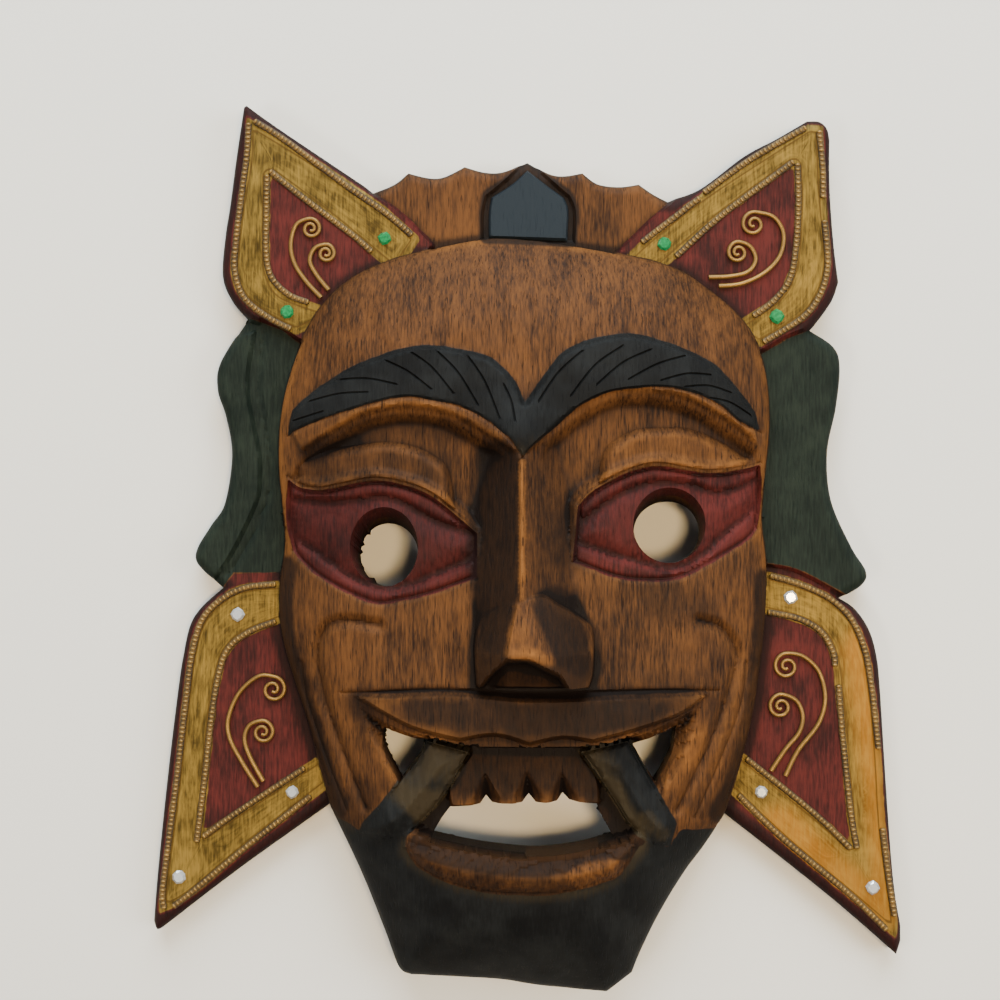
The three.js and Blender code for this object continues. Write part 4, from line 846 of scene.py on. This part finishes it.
def relief(places, blur):
    mean = soften(heights * solid, blur) / np.maximum(soften(solid, blur), 1e-6)
    u, v = (places[:, 0] - columns[0]) / CELL, (places[:, 1] - lines[0]) / CELL
    i, j = u.astype(int), v.astype(int)
    s, t = u - i, v - j
    return places[:, 2] - mix(mix(mean[i, j], mean[i + 1, j], s), mix(mean[i, j + 1], mean[i + 1, j + 1], s), t)


near_relief = relief(top, 3)
stand = np.concatenate([near_relief, np.full(len(low), -1.0)])
lie = np.concatenate([relief(top, 9), np.full(len(low), -3.0)])
print("relief in mm:", near_relief.min().round(2), near_relief.max().round(2))

# %% Make the wood
def new_mesh(name, places, faces):
    mesh = bpy.data.meshes.new(name)
    mesh.from_pydata((np.asarray(places) * MM).tolist(), [], np.asarray(faces).tolist())
    mesh.update()
    piece = bpy.data.objects.new(name, mesh)
    bpy.context.collection.objects.link(piece)
    return piece


wood = new_mesh("carved_wood", wood_places, wood_faces)
for name, values in {**paint, "stand": stand, "lie": lie}.items():
    layer = wood.data.attributes.new(name, "FLOAT", "POINT")
    layer.data.foreach_set("value", np.asarray(values, np.float32))
wood.data.shade_smooth()
wood.data.set_sharp_from_angle(angle=math.radians(40))
ends = np.empty(2 * len(wood.data.edges), np.int32)
wood.data.edges.foreach_get("vertices", ends)
hard = np.empty(len(wood.data.edges), bool)
wood.data.edges.foreach_get("use_edge_sharp", hard)
level = np.zeros(len(wood_places), int)
for upper, lower in zip(front_rims, back_rims):
    level[find_loop(top_tree, upper)] = 1
    level[[len(top) + i for i in find_loop(low_tree, lower)]] = 2
first, second = level[ends].reshape(-1, 2).T
wood.data.edges.foreach_set("use_edge_sharp", hard | ((first == second) & (first > 0)))
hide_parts("mask_carving")
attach(wood, "root")
print("wood faces:", len(wood.data.polygons))

# %% [markdown]
# Shader maths reads best as plain expressions. One small class wraps a socket, so that adding or
# multiplying two of them puts a Math node between; colours are blended with Mix nodes, and every other
# node comes from a single method that is given its type, its settings and its inputs.

# %% A small class for shader maths
class Value:
    def __init__(self, tree, socket):
        self.tree = tree
        self.socket = socket

    def math(self, operation, first, second):
        return self.tree.node("ShaderNodeMath", {"operation": operation}, {0: first, 1: second})

    def __add__(self, other):
        return self.math("ADD", self, other)

    def __radd__(self, other):
        return self.math("ADD", other, self)

    def __sub__(self, other):
        return self.math("SUBTRACT", self, other)

    def __rsub__(self, other):
        return self.math("SUBTRACT", other, self)

    def __mul__(self, other):
        return self.math("MULTIPLY", self, other)

    def __rmul__(self, other):
        return self.math("MULTIPLY", other, self)


class Finish:
    def __init__(self, name):
        self.material = bpy.data.materials.new(name)
        self.material.use_nodes = True
        self.nodes = self.material.node_tree.nodes
        self.links = self.material.node_tree.links
        self.shader = self.nodes["Principled BSDF"]

    def fill(self, node, inputs):
        for key, value in inputs.items():
            if isinstance(value, Value):
                self.links.new(value.socket, node.inputs[key])
            else:
                node.inputs[key].default_value = value

    def node(self, kind, settings, inputs, out=0):
        node = self.nodes.new(kind)
        for key, value in settings.items():
            setattr(node, key, value)
        self.fill(node, inputs)
        return Value(self, node.outputs[out])

    def attribute(self, name):
        return self.node("ShaderNodeAttribute", {"attribute_name": name}, {}, "Fac")

    def place(self, stretch):
        spot = self.node("ShaderNodeTexCoord", {}, {}, "Object")
        return self.node("ShaderNodeMapping", {}, {"Vector": spot, "Scale": stretch})

    def noise(self, stretch, detail=2.0, rough=0.5):
        return self.node("ShaderNodeTexNoise", {}, {"Vector": self.place(stretch), "Scale": 1.0, "Detail": detail,
                                                    "Roughness": rough}, "Fac")

    def between(self, value, low, high):
        return self.node("ShaderNodeMapRange", {"interpolation_type": "SMOOTHSTEP"},
                         {"Value": value, "From Min": low, "From Max": high})

    def blend(self, first, second, share):
        return self.node("ShaderNodeMix", {"data_type": "RGBA"}, {0: share, 6: first, 7: second}, 2)

    def clamp(self, value):
        return self.node("ShaderNodeClamp", {}, {"Value": value})

    def bump(self, height, distance, strength=1.0):
        return self.node("ShaderNodeBump", {}, {"Height": height, "Distance": distance, "Strength": strength})

    def surface(self, **inputs):
        self.fill(self.shader, {key.replace("_", " "): value for key, value in inputs.items()})


def colour(red, green, blue):
    linear = [((c / 255 + 0.055) / 1.055) ** 2.4 for c in (red, green, blue)]
    return (*linear, 1.0)


print("shader helpers ready")

# %% [markdown]
# The wood is a coarse tropical board with short dark pores that run from crown to chin, stained brown
# and waxed. Stain and painted shade darken the cuts and hollows, ridges are rubbed to an orange tone, and
# some lit ridges carry painted highlights. Over it lie thin hand-brushed paints: maroon, a blue-black, a
# dark green, and a gold wash through which the grain shows.

# %% Finish of the wood
def wood_tone(f, grain, hand):
    stand, lie, touch = f.attribute("stand"), f.attribute("lie"), f.attribute("touch")
    figure = f.noise((150, 11, 60), 3.0, 0.55)
    blotch = f.noise((30, 22, 30), 3.0, 0.55)
    pores = f.between(f.noise((1700, 120, 500), 2.0, 0.5), 0.60, 0.70)
    tone = f.blend(colour(26, 14, 7), colour(90, 56, 27),
                   f.between(grain * 0.7 + figure * 0.4 + blotch * 0.4, 0.48, 1.0))
    # Raised parts are rubbed lighter, and the lighter touches add painted highlights as well.
    rubbed_and_highlit = f.between(stand + hand * 1.6 - 0.8, 0.5, 1.9) * 0.4 + f.between(touch + hand * 0.5 - 0.25, 0.1, 1.0) * 0.8
    tone = f.blend(tone, colour(124, 78, 34), f.clamp(rubbed_and_highlit))
    # Hollows, cuts and the darker touches are darkened: stain together with painted shade.
    stain_and_shade = f.between(stand - hand * 0.8 + 0.4, -0.3, -2.0) * 0.7 + f.between(lie, -2.5, -9.0) * 0.35
    stain_and_shade = stain_and_shade + f.between(touch + hand * 0.5 - 0.25, -0.1, -1.0) * 0.85
    tone = f.blend(tone, colour(15, 8, 4), f.clamp(stain_and_shade))
    return f.blend(tone, colour(17, 9, 5), pores * 0.7), pores


def wood_finish():
    f = Finish("painted_wood")
    grain = f.noise((1200, 130, 400), 3.0, 0.6)
    hand = f.noise((170, 170, 170), 3.0, 0.6)
    cloud = f.noise((60, 60, 60), 3.0, 0.6)
    stand = f.attribute("stand")
    tone, pores = wood_tone(f, grain, hand)
    wander = (hand - 0.5) * 1.4
    masks = {name: f.between(f.attribute(name) + wander, -0.15, 0.35)
             for name in ("maroon", "black", "green", "gold")}
    red = f.blend(colour(38, 15, 13), colour(78, 30, 26), f.between(grain * 0.6 + cloud * 0.6, 0.42, 0.78))
    # The red is darkened in its hollows: stain together with painted shade.
    red = f.blend(red, colour(24, 11, 9), f.between(stand, -0.2, -1.4) * 0.8)
    # The darker touches darken the red too, as painted shade on the eyes.
    touch = f.attribute("touch")
    red = f.blend(red, colour(24, 9, 8), f.between(touch, -0.1, -1.0))
    slate = f.blend(colour(9, 9, 9), colour(24, 25, 25), f.between(cloud * 0.7 + grain * 0.4, 0.4, 0.8))
    slate = f.blend(slate, colour(44, 36, 23), f.between(touch + grain * 0.6 - 0.3, -0.2, -1.0))
    # The gem is a lighter blue-grey: its own paint, lightened further as a painted sheen.
    slate = f.blend(slate, colour(30, 36, 41), f.between(f.attribute("gem"), 0.0, 0.5))
    tone = f.blend(tone, colour(15, 10, 7), f.between(f.attribute("gem"), -4.5, -3.0) * 0.85)
    moss = f.blend(colour(13, 20, 15), colour(30, 37, 29), f.between(grain * 0.6 + cloud * 0.5, 0.4, 0.75))
    across = f.attribute("band")
    strokes = f.node("ShaderNodeCombineXYZ", {}, {0: f.attribute("along") * 0.11, 1: across * 0.7})
    brushed = f.node("ShaderNodeTexNoise", {},
                     {"Vector": strokes, "Scale": 1.0, "Detail": 3.0, "Roughness": 0.6}, "Fac")
    gilt = f.blend(colour(50, 38, 13), colour(124, 100, 45),
                   f.between(brushed * 0.35 + cloud * 0.35 + grain * 0.4, 0.38, 0.72))
    # Lighter touches turn the gold orange: a painted highlight on the right flap.
    gilt = f.blend(gilt, colour(164, 106, 28), f.between(touch - grain * 0.3, 0.0, 1.1))
    scored = f.between(across, 2.5, 2.9) * f.between(across, 3.5, 3.1)
    gilt = f.blend(gilt, colour(70, 50, 20), scored * 0.8)
    # The red beside the outer edges, outside the gold, is darker maroon, partly painted shade on the bevels.
    margin = f.between(f.attribute("gold"), -0.2, -0.8) * f.between(f.attribute("edge"), 6.5, 4.0)
    red = f.blend(red, colour(24, 12, 11), margin * 0.8)
    tone = f.blend(tone, red, masks["maroon"])
    tone = f.blend(tone, slate, masks["black"])
    tone = f.blend(tone, moss, masks["green"])
    tone = f.blend(tone, gilt, masks["gold"])
    rough = 0.6 + grain * 0.15 - masks["gold"] * 0.15
    raised = grain * 0.5 - pores * 0.6 * (1 - masks["gold"]) + hand * 0.3
    f.surface(Base_Color=tone, Roughness=rough, Metallic=masks["gold"] * 0.5, Normal=f.bump(raised, 0.0003, 0.6))
    f.surface(Specular_IOR_Level=0.1)
    return f.material


wood.data.materials.append(wood_finish())
print("wood finish made")

# %% [markdown]
# The edging is a cast strip with a row of small beads between two plain lips, bent along the edges of
# each ear and flap and gilded. Hundreds of beads follow a path, so this is work for Geometry Nodes: one
# tree sweeps the strip along its path and sets beads on it, and each strip only changes the path.

# %% Paths of the edging
BEADING = {
    "left_ear_outer_side": [[-94, 86.8], [-103, 91.5], [-112, 99], [-115.6, 109], [-115.4, 120], [-113, 140],
        [-111, 155], [-110.2, 167.5]],
    "left_ear_outer_top": [[-107.5, 168.6], [-95.5, 161], [-70.5, 142.5], [-56, 132.5], [-46, 124]],
    "left_ear_inner_side": [[-87, 97.3], [-94.5, 100.3], [-101.3, 107.3], [-103.3, 116.5], [-103.3, 130],
        [-103, 147]],
    "left_ear_inner_top": [[-101.5, 148.8], [-90, 139.5], [-69.5, 124], [-62, 117.5]],
    "right_ear_outer_top_low": [[45.5, 121.2], [67.5, 138]],
    "right_ear_outer_top_high": [[70, 140.8], [88, 153.6], [109.5, 166]],
    "right_ear_outer_side_high": [[115.3, 164.5], [116.6, 150], [116.8, 139]],
    "right_ear_outer_side_low": [[117.3, 129], [118.3, 119], [118.4, 110], [115.5, 100], [108.5, 91], [93.5, 81.6]],
    "right_ear_inner_side": [[106.7, 151.5], [107, 135], [106, 119], [103.6, 106.5], [97.5, 98], [89.5, 92]],
    "right_ear_inner_top": [[104.6, 152.4], [96, 146], [76, 131], [59, 115.6]],
    "left_flap_outer_side": [[-100.5, -14.5], [-112, -15.8], [-121, -20], [-129, -28], [-133.2, -41], [-136, -62],
        [-139.5, -92], [-143, -119], [-145.2, -137], [-144.6, -143]],
    "left_flap_outer_low": [[-140.5, -142.3], [-133, -136.5], [-109.5, -117], [-86.5, -99]],
    "left_flap_inner_side": [[-100.5, -29.4], [-110.5, -33.3], [-119, -40], [-123, -51], [-126, -70], [-128.3, -91],
        [-131.5, -116.5]],
    "left_flap_inner_low": [[-128.6, -114.6], [-116, -105.5], [-89, -87.8]],
    "right_flap_outer_side_high": [[97, -11.2], [107, -14], [119.5, -19.6], [128.5, -27.8], [133.7, -39],
        [136.6, -53], [139.6, -79.5]],
    "right_flap_outer_side_low": [[141.3, -112], [143.4, -129], [146, -146]],
    "right_flap_outer_low": [[84.2, -98.6], [101, -115], [128, -137.6], [142.5, -151.5]],
    "right_flap_inner_side_high": [[96, -25.6], [108, -28.2], [117, -33.5], [121.6, -41.5], [122.3, -46.5]],
    "right_flap_inner_side_low": [[123.8, -55], [125.4, -75.5], [128.6, -105], [131, -119]],
    "right_flap_inner_low": [[87.4, -84], [114, -105.5], [128.2, -119.2]],
}
GAP = 0.3
BEADING_WIDTH, BEADING_HEIGHT, BEAD_PITCH, BEAD_RADIUS = 2.5, 0.4, 1.75, 1.0


def level_for(name):
    return (EAR_TOP if "ear" in name else FLAP_TOP) + GAP


def path_object(name, points, level):
    data = bpy.data.curves.new(name, "CURVE")
    data.dimensions = "3D"
    places = run(points, 1.0)
    spline = data.splines.new("POLY")
    spline.points.add(len(places) - 1)
    for point, (px, py) in zip(spline.points, places):
        point.co = (px * MM, py * MM, level * MM, 1)
    path = bpy.data.objects.new(name, data)
    bpy.context.collection.objects.link(path)
    return path


print("edging strips:", len(BEADING))

# %% The edging's node tree
def new_tree(name, sizes):
    tree = bpy.data.node_groups.new(name, "GeometryNodeTree")
    tree.interface.new_socket("Path", in_out="INPUT", socket_type="NodeSocketGeometry")
    sockets = {key: tree.interface.new_socket(key, in_out="INPUT", socket_type="NodeSocketFloat") for key in sizes}
    finish = tree.interface.new_socket("Finish", in_out="INPUT", socket_type="NodeSocketMaterial")
    tree.interface.new_socket("Piece", in_out="OUTPUT", socket_type="NodeSocketGeometry")
    return tree, {key: socket.identifier for key, socket in sockets.items()}, finish.identifier


def add(tree, kind, settings=(), inputs=()):
    node = tree.nodes.new(kind)
    for key, value in dict(settings).items():
        setattr(node, key, value)
    for key, value in dict(inputs).items():
        if isinstance(value, bpy.types.NodeSocket):
            tree.links.new(value, node.inputs[key])
        else:
            node.inputs[key].default_value = value
    return node


def end_tree(tree, shape, finish):
    real = add(tree, "GeometryNodeRealizeInstances", {}, {"Geometry": shape})
    painted = add(tree, "GeometryNodeSetMaterial", {}, {"Geometry": real.outputs[0], "Material": finish})
    out = tree.nodes.new("NodeGroupOutput")
    tree.links.new(painted.outputs[0], out.inputs[0])


def edging_tree():
    tree, sizes, finish = new_tree("beaded_edging", ("Width", "Height", "Pitch", "Bead"))
    given = tree.nodes.new("NodeGroupInput").outputs
    section = add(tree, "GeometryNodeCurvePrimitiveCircle", {"mode": "RADIUS"}, {"Resolution": 12, "Radius": 0.5})
    stretch = add(tree, "ShaderNodeCombineXYZ", {}, {"X": given["Width"], "Y": given["Height"], "Z": 1.0})
    section = add(tree, "GeometryNodeTransform", {}, {"Geometry": section.outputs[0], "Scale": stretch.outputs[0]})
    strip = add(tree, "GeometryNodeCurveToMesh", {}, {"Curve": given["Path"], "Profile Curve": section.outputs[0],
                                                     "Fill Caps": True})
    dots = add(tree, "GeometryNodeCurveToPoints", {"mode": "LENGTH"}, {"Curve": given["Path"],
                                                                      "Length": given["Pitch"]})
    ball = add(tree, "GeometryNodeMeshUVSphere", {}, {"Segments": 8, "Rings": 5, "Radius": given["Bead"]})
    oval = add(tree, "GeometryNodeTransform", {}, {"Geometry": ball.outputs["Mesh"], "Scale": (1.25, 0.95, 0.7)})
    uneven = add(tree, "FunctionNodeRandomValue", {"data_type": "FLOAT"}, {2: 0.86, 3: 1.08, "Seed": 7})
    beads = add(tree, "GeometryNodeInstanceOnPoints", {}, {"Points": dots.outputs["Points"],
                                                          "Instance": oval.outputs[0],
                                                          "Rotation": dots.outputs["Rotation"],
                                                          "Scale": uneven.outputs[1]})
    whole = add(tree, "GeometryNodeJoinGeometry")
    tree.links.new(strip.outputs[0], whole.inputs[0])
    tree.links.new(beads.outputs[0], whole.inputs[0])
    end_tree(tree, whole.outputs[0], given["Finish"])
    return tree, sizes, finish


def grow(name, path, tree_parts, values, material):
    tree, sizes, finish = tree_parts
    modifier = path.modifiers.new("shape", "NODES")
    modifier.node_group = tree
    for key, value in values.items():
        modifier[sizes[key]] = value
    modifier[finish] = material
    seen = path.evaluated_get(bpy.context.evaluated_depsgraph_get())
    mesh = bpy.data.meshes.new_from_object(seen)
    mesh.name = name
    piece = bpy.data.objects.new(name, mesh)
    bpy.context.collection.objects.link(piece)
    bpy.data.objects.remove(path)
    mesh.shade_smooth()
    return piece


# %% [markdown]
# The gilding on strips and wires is old and dusty. It is painted bright on the tops and dull brown in the
# dips, a painted highlight and shade by height. A metal shader with a noise between two golds gives that,
# rougher where it is darker.

# %% Gilding
def gilding(name, bright, dull, low, high):
    f = Finish(name)
    mottle = f.noise((700, 700, 700), 4.0, 0.65)
    patch = f.noise((90, 90, 90), 2.0, 0.5)
    level = f.node("ShaderNodeSeparateXYZ", {}, {0: f.place((1 / MM, 1 / MM, 1 / MM))}, "Z")
    # Noise gives dust and patches; height gives a painted highlight on the tops and painted shade low down.
    dust_and_highlight = f.between(mottle * 0.5 + patch * 0.5, 0.35, 0.7) * 0.35 + f.between(level, low, high) * 0.65
    f.surface(Base_Color=f.blend(dull, bright, dust_and_highlight), Metallic=0.4 + dust_and_highlight * 0.3, Roughness=0.62 - dust_and_highlight * 0.2,
              Normal=f.bump(mottle, 0.0002, 0.5))
    return f.material


edging_gilt, wire_gilt = {}, {}
for place, level in (("ear", EAR_TOP), ("flap", FLAP_TOP)):
    edging_gilt[place] = gilding(f"{place}_edging_gilt", colour(138, 106, 52), colour(40, 28, 10),
                                 level + 0.6, level + 1.2)
    wire_gilt[place] = gilding(f"{place}_wire_gilt", colour(132, 98, 44), colour(48, 33, 13),
                               level + 0.2, level + 1.5)
edging_parts = edging_tree()
for name, points in BEADING.items():
    strip = grow(f"{name}_beads", path_object(name, points, level_for(name) + 0.1), edging_parts,
                 {"Width": BEADING_WIDTH * MM, "Height": 2 * BEADING_HEIGHT * MM, "Pitch": BEAD_PITCH * MM,
                  "Bead": BEAD_RADIUS * MM}, edging_gilt["ear" if "ear" in name else "flap"])
    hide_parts(f"{name}_beading")
    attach(strip, "root")
print("edging made")

# %% [markdown]
# The scrolls are bent wires that lie on the red ground and wind in at the end. A wire is a circle swept
# along a path that thins a little towards its eye, so a second, smaller tree sweeps it.

# %% Scroll wires
SCROLLS = {
    "left_ear_large_scroll": [[[-81.5, 99], [-87.5, 105.5], [-92, 112.5], [-93.5, 120], [-91.5, 127.5], [-87, 130]],
        [-85.6, 126.2], -1],
    "left_ear_small_scroll": [[[-78.5, 102], [-83, 107.5], [-86, 113.5], [-84, 118.5], [-79.5, 120]],
        [-79.6, 116.4], -1],
    "right_ear_large_scroll": [[[75.5, 103.5], [84.5, 104.5], [93.5, 108.8], [99.5, 115.5], [101, 124],
        [97.5, 130.5], [91, 132.6]], [89.2, 128], 1],
    "right_ear_small_scroll": [[[71.5, 107], [80, 107.4], [87, 109.2], [90, 114], [88, 119], [83.5, 121]],
        [83, 116.8], 1],
    "left_flap_large_scroll": [[[-107.2, -94.8], [-113.4, -85], [-118.3, -75.5], [-118.8, -67.5], [-114.5, -57.5],
        [-107, -51], [-101, -51]], [-101, -56.2], -1],
    "left_flap_small_scroll": [[[-105, -92.5], [-110, -83.5], [-112.4, -76], [-110.5, -70.5], [-105.5, -68.6]],
        [-105.2, -73.2], -1],
    "right_flap_large_scroll": [[[102.5, -90.5], [107.5, -80.5], [115.5, -70], [118.3, -60], [116, -49.5],
        [110, -43.3], [103.5, -41.8]], [103, -47], 1],
    "right_flap_small_scroll": [[[96.8, -88.5], [102.5, -80], [107.8, -73.5], [109.4, -67], [107, -60.8],
        [101.5, -58.2]], [100.6, -63], 1],
}
WIND_END, WIND_TURNS, WIRE = 0.9, 1.6, 0.9


def scroll_points(stem, eye, turn):
    start = math.atan2(stem[-1][1] - eye[1], stem[-1][0] - eye[0])
    radius = math.dist(stem[-1], eye)
    wound = []
    for i in range(1, 15):
        r = mix(radius, WIND_END, i / 14)
        a = start + turn * 2 * math.pi * WIND_TURNS * i / 14
        wound.append([eye[0] + r * math.cos(a), eye[1] + r * math.sin(a)])
    return stem + wound


def wire_tree():
    tree, sizes, finish = new_tree("scroll_wire", ("Radius",))
    given = tree.nodes.new("NodeGroupInput").outputs
    section = add(tree, "GeometryNodeCurvePrimitiveCircle", {"mode": "RADIUS"}, {"Resolution": 14,
                                                                               "Radius": given["Radius"]})
    along = add(tree, "GeometryNodeSplineParameter")
    thinner = add(tree, "ShaderNodeMapRange", {}, {"Value": along.outputs["Factor"], "To Min": 1.08, "To Max": 0.8})
    tapered = add(tree, "GeometryNodeSetCurveRadius", {}, {"Curve": given["Path"], "Radius": thinner.outputs[0]})
    wire = add(tree, "GeometryNodeCurveToMesh", {}, {"Curve": tapered.outputs[0], "Profile Curve": section.outputs[0],
                                                    "Scale": thinner.outputs[0], "Fill Caps": True})
    end_tree(tree, wire.outputs[0], given["Finish"])
    return tree, sizes, finish


wire_parts = wire_tree()
for name, (stem, eye, turn) in SCROLLS.items():
    path = path_object(name, scroll_points(stem, eye, turn), level_for(name) + WIRE - 0.3)
    wire = grow(f"{name}_wire", path, wire_parts, {"Radius": WIRE * MM}, wire_gilt["ear" if "ear" in name else "flap"])
    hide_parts(name)
    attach(wire, "root")
print("scrolls made:", len(SCROLLS))

# %% [markdown]
# The chips are small pieces of cut glass, green on the ears and silvered on the flaps. Each is eight-sided
# with sloping facets round a flat top, and none is cut quite true, so a little seeded waver moves its corners.

# %% Glass chips
CHIPS = {
    "left_ear_upper_chip": [-56.5, 122.4, 5.2],
    "left_ear_lower_chip": [-95, 93.4, 5.4],
    "right_ear_upper_chip": [54, 120.3, 5.4],
    "right_ear_lower_chip": [98.5, 91.6, 5.8],
    "left_flap_upper_chip": [-115.2, -26.4, 5.4],
    "left_flap_lower_chip": [-93.5, -97, 5],
    "left_flap_tip_chip": [-138.5, -130.8, 5.4],
    "right_flap_upper_chip": [104.6, -19.6, 5.4],
    "right_flap_lower_chip": [93, -97, 5],
    "right_flap_tip_chip": [137.3, -135, 5.4],
}
CHIP_HEIGHT = 1.6


def chip_mesh(name, place, seed):
    cx, cy, width = place
    level = level_for(name) - GAP
    loose = np.random.default_rng(seed)
    turn = loose.uniform(0, math.pi / 4)
    places, faces, sides = [], [], 8
    for share, height in ((1.0, 0.0), (1.02, 0.45), (0.7, 1.0)):
        for i in range(sides):
            a = turn + 2 * math.pi * i / sides
            r = width / 2 * share * (1 + 0.06 * math.cos(4 * a + turn) + loose.uniform(-0.03, 0.03))
            places.append((cx + r * math.cos(a), cy + r * math.sin(a), level + CHIP_HEIGHT * height))
    for ring in (0, 1):
        for i in range(sides):
            a, b = ring * sides + i, ring * sides + (i + 1) % sides
            faces.append((a, b, b + sides, a + sides))
    faces.append(tuple(range(2 * sides, 3 * sides)))
    faces.append(tuple(reversed(range(sides))))
    mesh = bpy.data.meshes.new(name)
    mesh.from_pydata([tuple(v * MM for v in p) for p in places], [], faces)
    piece = bpy.data.objects.new(name, mesh)
    bpy.context.collection.objects.link(piece)
    return piece


def green_glass():
    f = Finish("green_glass")
    cloud = f.noise((900, 900, 900), 2.0, 0.5)
    f.surface(Base_Color=f.blend(colour(4, 62, 30), colour(28, 142, 80), cloud), Roughness=0.08 + cloud * 0.1)
    f.surface(Coat_Weight=1.0)
    return f.material


def silvered_glass():
    f = Finish("silvered_glass")
    cloud = f.noise((900, 900, 900), 2.0, 0.5)
    f.surface(Base_Color=f.blend(colour(205, 208, 208), colour(246, 247, 246), cloud), Metallic=0.5 + cloud * 0.3,
              Roughness=0.12 + cloud * 0.12)
    return f.material


green, silver = green_glass(), silvered_glass()
for seed, (name, place) in enumerate(CHIPS.items()):
    glass = chip_mesh(f"{name}_glass", place, seed)
    glass.data.materials.append(green if "ear" in name else silver)
    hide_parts(name)
    "green_glass" if "ear" in name else "mirror_glass"
    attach(glass, "root")
print("chips made:", len(CHIPS))

# %% [markdown]
# The mask lies on a plain pale table. A small warm lamp hangs above it, a little to the right, and a weaker
# one stands to the lower left. Three broad, cool windows, the strongest beyond the crown, fill in the rest.

# %% Table and light
def table_finish():
    f = Finish("pale_table")
    tint = f.noise((4, 4, 4), 2.0, 0.5)
    f.surface(Base_Color=f.blend(colour(214, 212, 206), colour(226, 221, 210), tint), Roughness=0.7)
    return f.material


table = new_mesh("table", [(-2500, -2500, 0), (2500, -2500, 0), (2500, 2500, 0), (-2500, 2500, 0)], [(0, 1, 2, 3)])
table.data.materials.append(table_finish())


def window(name, place, power, size, tint):
    data = bpy.data.lights.new(name, "AREA")
    data.energy = power
    data.shape = "SQUARE"
    data.size = size
    data.color = tint
    lamp = bpy.data.objects.new(name, data)
    lamp.location = place
    lamp.rotation_euler = (Vector((0, 0, 0)) - Vector(place)).to_track_quat("-Z", "Y").to_euler()
    bpy.context.collection.objects.link(lamp)


window("lamp", (0.24, -0.05, 1.5), 22, 0.24, (1.0, 0.72, 0.38))
window("lamp_left", (-0.82, -0.39, 1.3), 7, 0.3, (1.0, 0.95, 0.88))
window("window_top", (0.0, 1.5, 1.0), 84, 1.4, (0.8, 0.92, 1.0))
window("window_left", (-1.5, 0.0, 1.2), 10, 1.2, (0.8, 0.92, 1.0))
window("window_right", (1.5, 0.1, 1.2), 28, 1.2, (0.86, 0.95, 1.0))
world = bpy.data.worlds.new("room")
world.use_nodes = True
world.node_tree.nodes["Background"].inputs["Color"].default_value = (0.95, 0.97, 1.0, 1)
world.node_tree.nodes["Background"].inputs["Strength"].default_value = 0.2
bpy.context.scene.world = world
print("light set")
